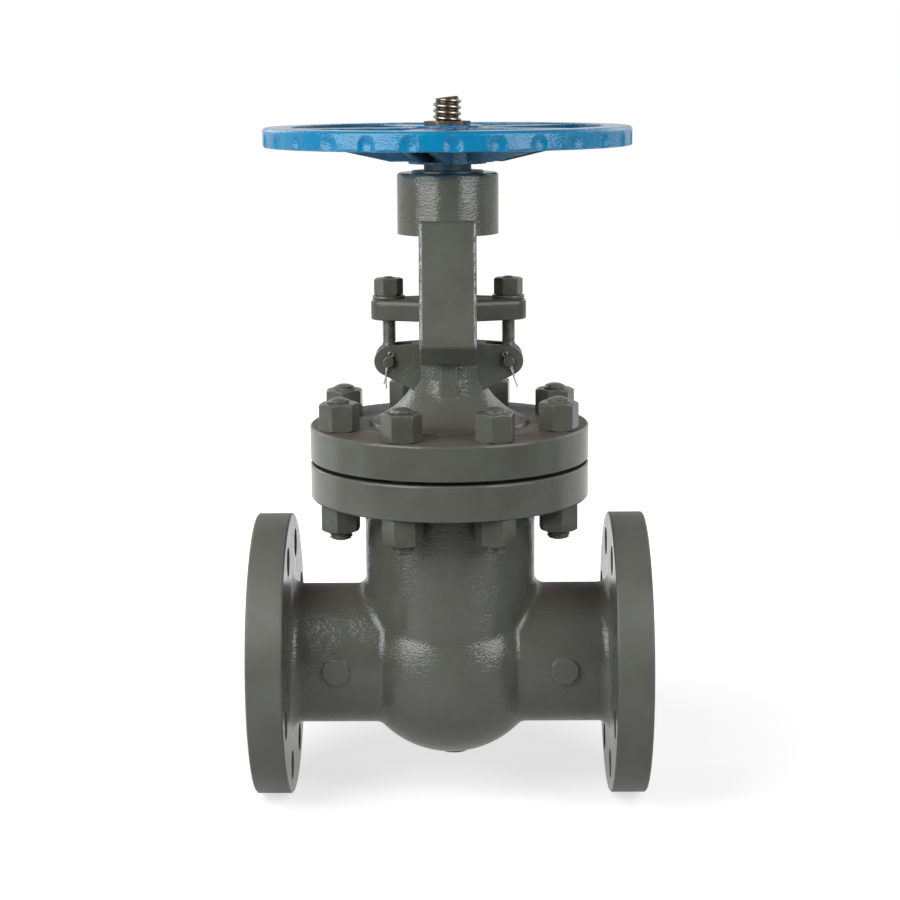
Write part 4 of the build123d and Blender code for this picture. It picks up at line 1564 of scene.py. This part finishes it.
@dataclass
class Studio:
    """Floor, lights, world and camera.

    Attributes:
        floor_height: Height of the floor under the flanges.
        floor_reach: Distance of the floor's edges from the origin.
        eye: Where the camera stands.
        yaw: Turn to the side, in radians.
        pitch: Tilt down, in radians.
        roll: Tilt to the side, in radians.
        focal: Focal length in pixels of a picture as wide as picture_width.
        picture_width: Width of the picture in pixels.
        fill: Light that comes from all round.
        room: Brightness that gloss shows of the room in front.
        walls: Brightness that gloss shows of the walls behind.
        table: Brightness that gloss shows of the floor in the middle, left, right and behind.
        side_fade: Distances to the side over which the left and right brightness come in.
        back_fade: Distances behind the stem over which the brightness behind comes in.
        table_end: Distances from the stem over which the floor's gloss ends.
        near_floor: Brightness of the floor by the stem, where 1 is white.
        white_fade: Distances from the stem over which the floor turns white.
        floor_grey: Grey that the floor's matt part has.
        boxes: The lamps.
    """

    floor_height: float = -0.125
    floor_reach: float = 6.0
    eye: Point = (0.191877, -1.754778, 0.510344)
    yaw: float = -0.0094
    pitch: float = 0.1839
    roll: float = -0.007
    focal: float = 2024.45
    picture_width: int = 900
    fill: float = 0.11
    room: float = 0.2
    walls: float = 0.8
    table: tuple[float, float, float, float] = (0.4, 1.2, 0.8, 0.65)
    side_fade: tuple[float, float] = (0.25, 0.6)
    back_fade: tuple[float, float] = (0.1, 0.5)
    table_end: tuple[float, float] = (0.95, 1.2)
    near_floor: float = 0.66
    white_fade: tuple[float, float] = (0.25, 0.9)
    floor_grey: float = 0.5
    boxes: tuple[SoftBox, ...] = (
        SoftBox("left_box", (-1.32, -0.8, 1.0), AHEAD, (2.3, 1.48), 5.8),
        SoftBox("right_box", (1.45, -0.8, 0.75), AHEAD, (1.6, 0.96), 5.3),
        SoftBox("back_left_box", (-1.1, 1.4, 1.15), (1.27, -1.4, -0.75), (1.0, 1.0), 2.0),
        SoftBox("back_right_box", (1.5, 1.4, 1.15), (-1.3, -1.4, -0.75), (1.0, 1.0), 1.2),
    )

    def build(self) -> None:
        """Set up the studio."""
        bpy.context.scene.view_settings.view_transform = "Standard"
        self._world()
        self._floor()
        self._camera()
        for box in self.boxes:
            box.build()

    def _world(self) -> None:
        """White surroundings that gloss shows dimmer in front, overhead and far behind."""
        world = bpy.data.worlds.new("studio")
        bpy.context.scene.world = world
        world.use_nodes = True
        world.node_tree.nodes.clear()
        bench = Bench(world.node_tree)
        plain, glossy = bench.rays()
        _, ahead, up = bench.axes(bench.node("ShaderNodeTexCoord").outputs["Generated"])
        behind = bench.times(bench.fade(ahead, -0.3, 0.1), bench.fade(up, 0.95, 0.4))
        mirrored = bench.blend(behind, self.room, self.walls)
        strength = bench.blend(plain, bench.blend(glossy, self.fill, mirrored), 1.0)
        sky = bench.node("ShaderNodeBackground", {"Color": (1.0, 1.0, 1.0, 1.0), "Strength": strength})
        bench.node("ShaderNodeOutputWorld", {"Surface": sky.outputs[0]})

    def _floor(self) -> None:
        """Pale floor that keeps a soft shadow."""
        mesh = bpy.data.meshes.new("floor")
        reach = self.floor_reach
        corners = [(-reach, -reach), (reach, -reach), (reach, reach), (-reach, reach)]
        mesh.from_pydata([(x, y, self.floor_height) for x, y in corners], [], [(0, 1, 2, 3)])
        floor = placed("floor", mesh)
        pale, bench = new_material("floor_pale")
        plain, glossy = bench.rays()
        away = bench.axle_distance()
        near_white = bench.blend(bench.fade(away, *self.white_fade), self.near_floor, 1.0)
        x, y, _ = bench.axes(bench.place())
        middle, left, right, behind = self.table
        near, far = self.side_fade
        table = bench.blend(bench.fade(x, STEM_X - near, STEM_X - far), middle, left)
        table = bench.blend(bench.fade(x, STEM_X + near, STEM_X + far), table, right)
        table = bench.blend(bench.fade(away, *self.table_end), table, 0.0)
        mirrored = bench.blend(bench.fade(y, *self.back_fade), table, behind)
        grey = self.floor_grey
        matt = bench.node("ShaderNodeBsdfDiffuse", {"Color": (grey, grey, grey, 1.0)})
        shown = bench.plus(bench.times(plain, near_white), bench.times(glossy, mirrored))
        glow = bench.node("ShaderNodeEmission", {"Strength": shown})
        both = bench.node("ShaderNodeAddShader", {0: matt.outputs[0], 1: glow.outputs[0]})
        bench.node("ShaderNodeOutputMaterial", {"Surface": both.outputs[0]})
        mesh.materials.append(pale)

    def _camera(self) -> None:
        """Camera at the photograph's angle."""
        data = bpy.data.cameras.new("camera")
        data.sensor_width = 36.0
        data.lens = self.focal * data.sensor_width / self.picture_width
        flat = math.cos(self.pitch)
        ahead = Vector((math.sin(self.yaw) * flat, math.cos(self.yaw) * flat, -math.sin(self.pitch)))
        level = Vector((math.cos(self.yaw), -math.sin(self.yaw), 0.0))
        right = level * math.cos(self.roll) + level.cross(ahead) * math.sin(self.roll)
        turn = Matrix((right, right.cross(ahead), -ahead)).transposed().to_4x4()
        camera = placed("camera", data)
        camera.matrix_world = Matrix.Translation(self.eye) @ turn
        bpy.context.scene.camera = camera


def main() -> None:
    """Build the sub-assemblies in order."""
    logging.basicConfig(level=logging.INFO, format="%(name)s %(message)s")
    shop = Shop()
    for assembly in (Castings(), Bolting(), SplitPins(), StemAndWheel()):
        assembly.build(shop)
    Studio().build()
    LOG.info("sizes written")


if __name__ == "__main__":
    main()
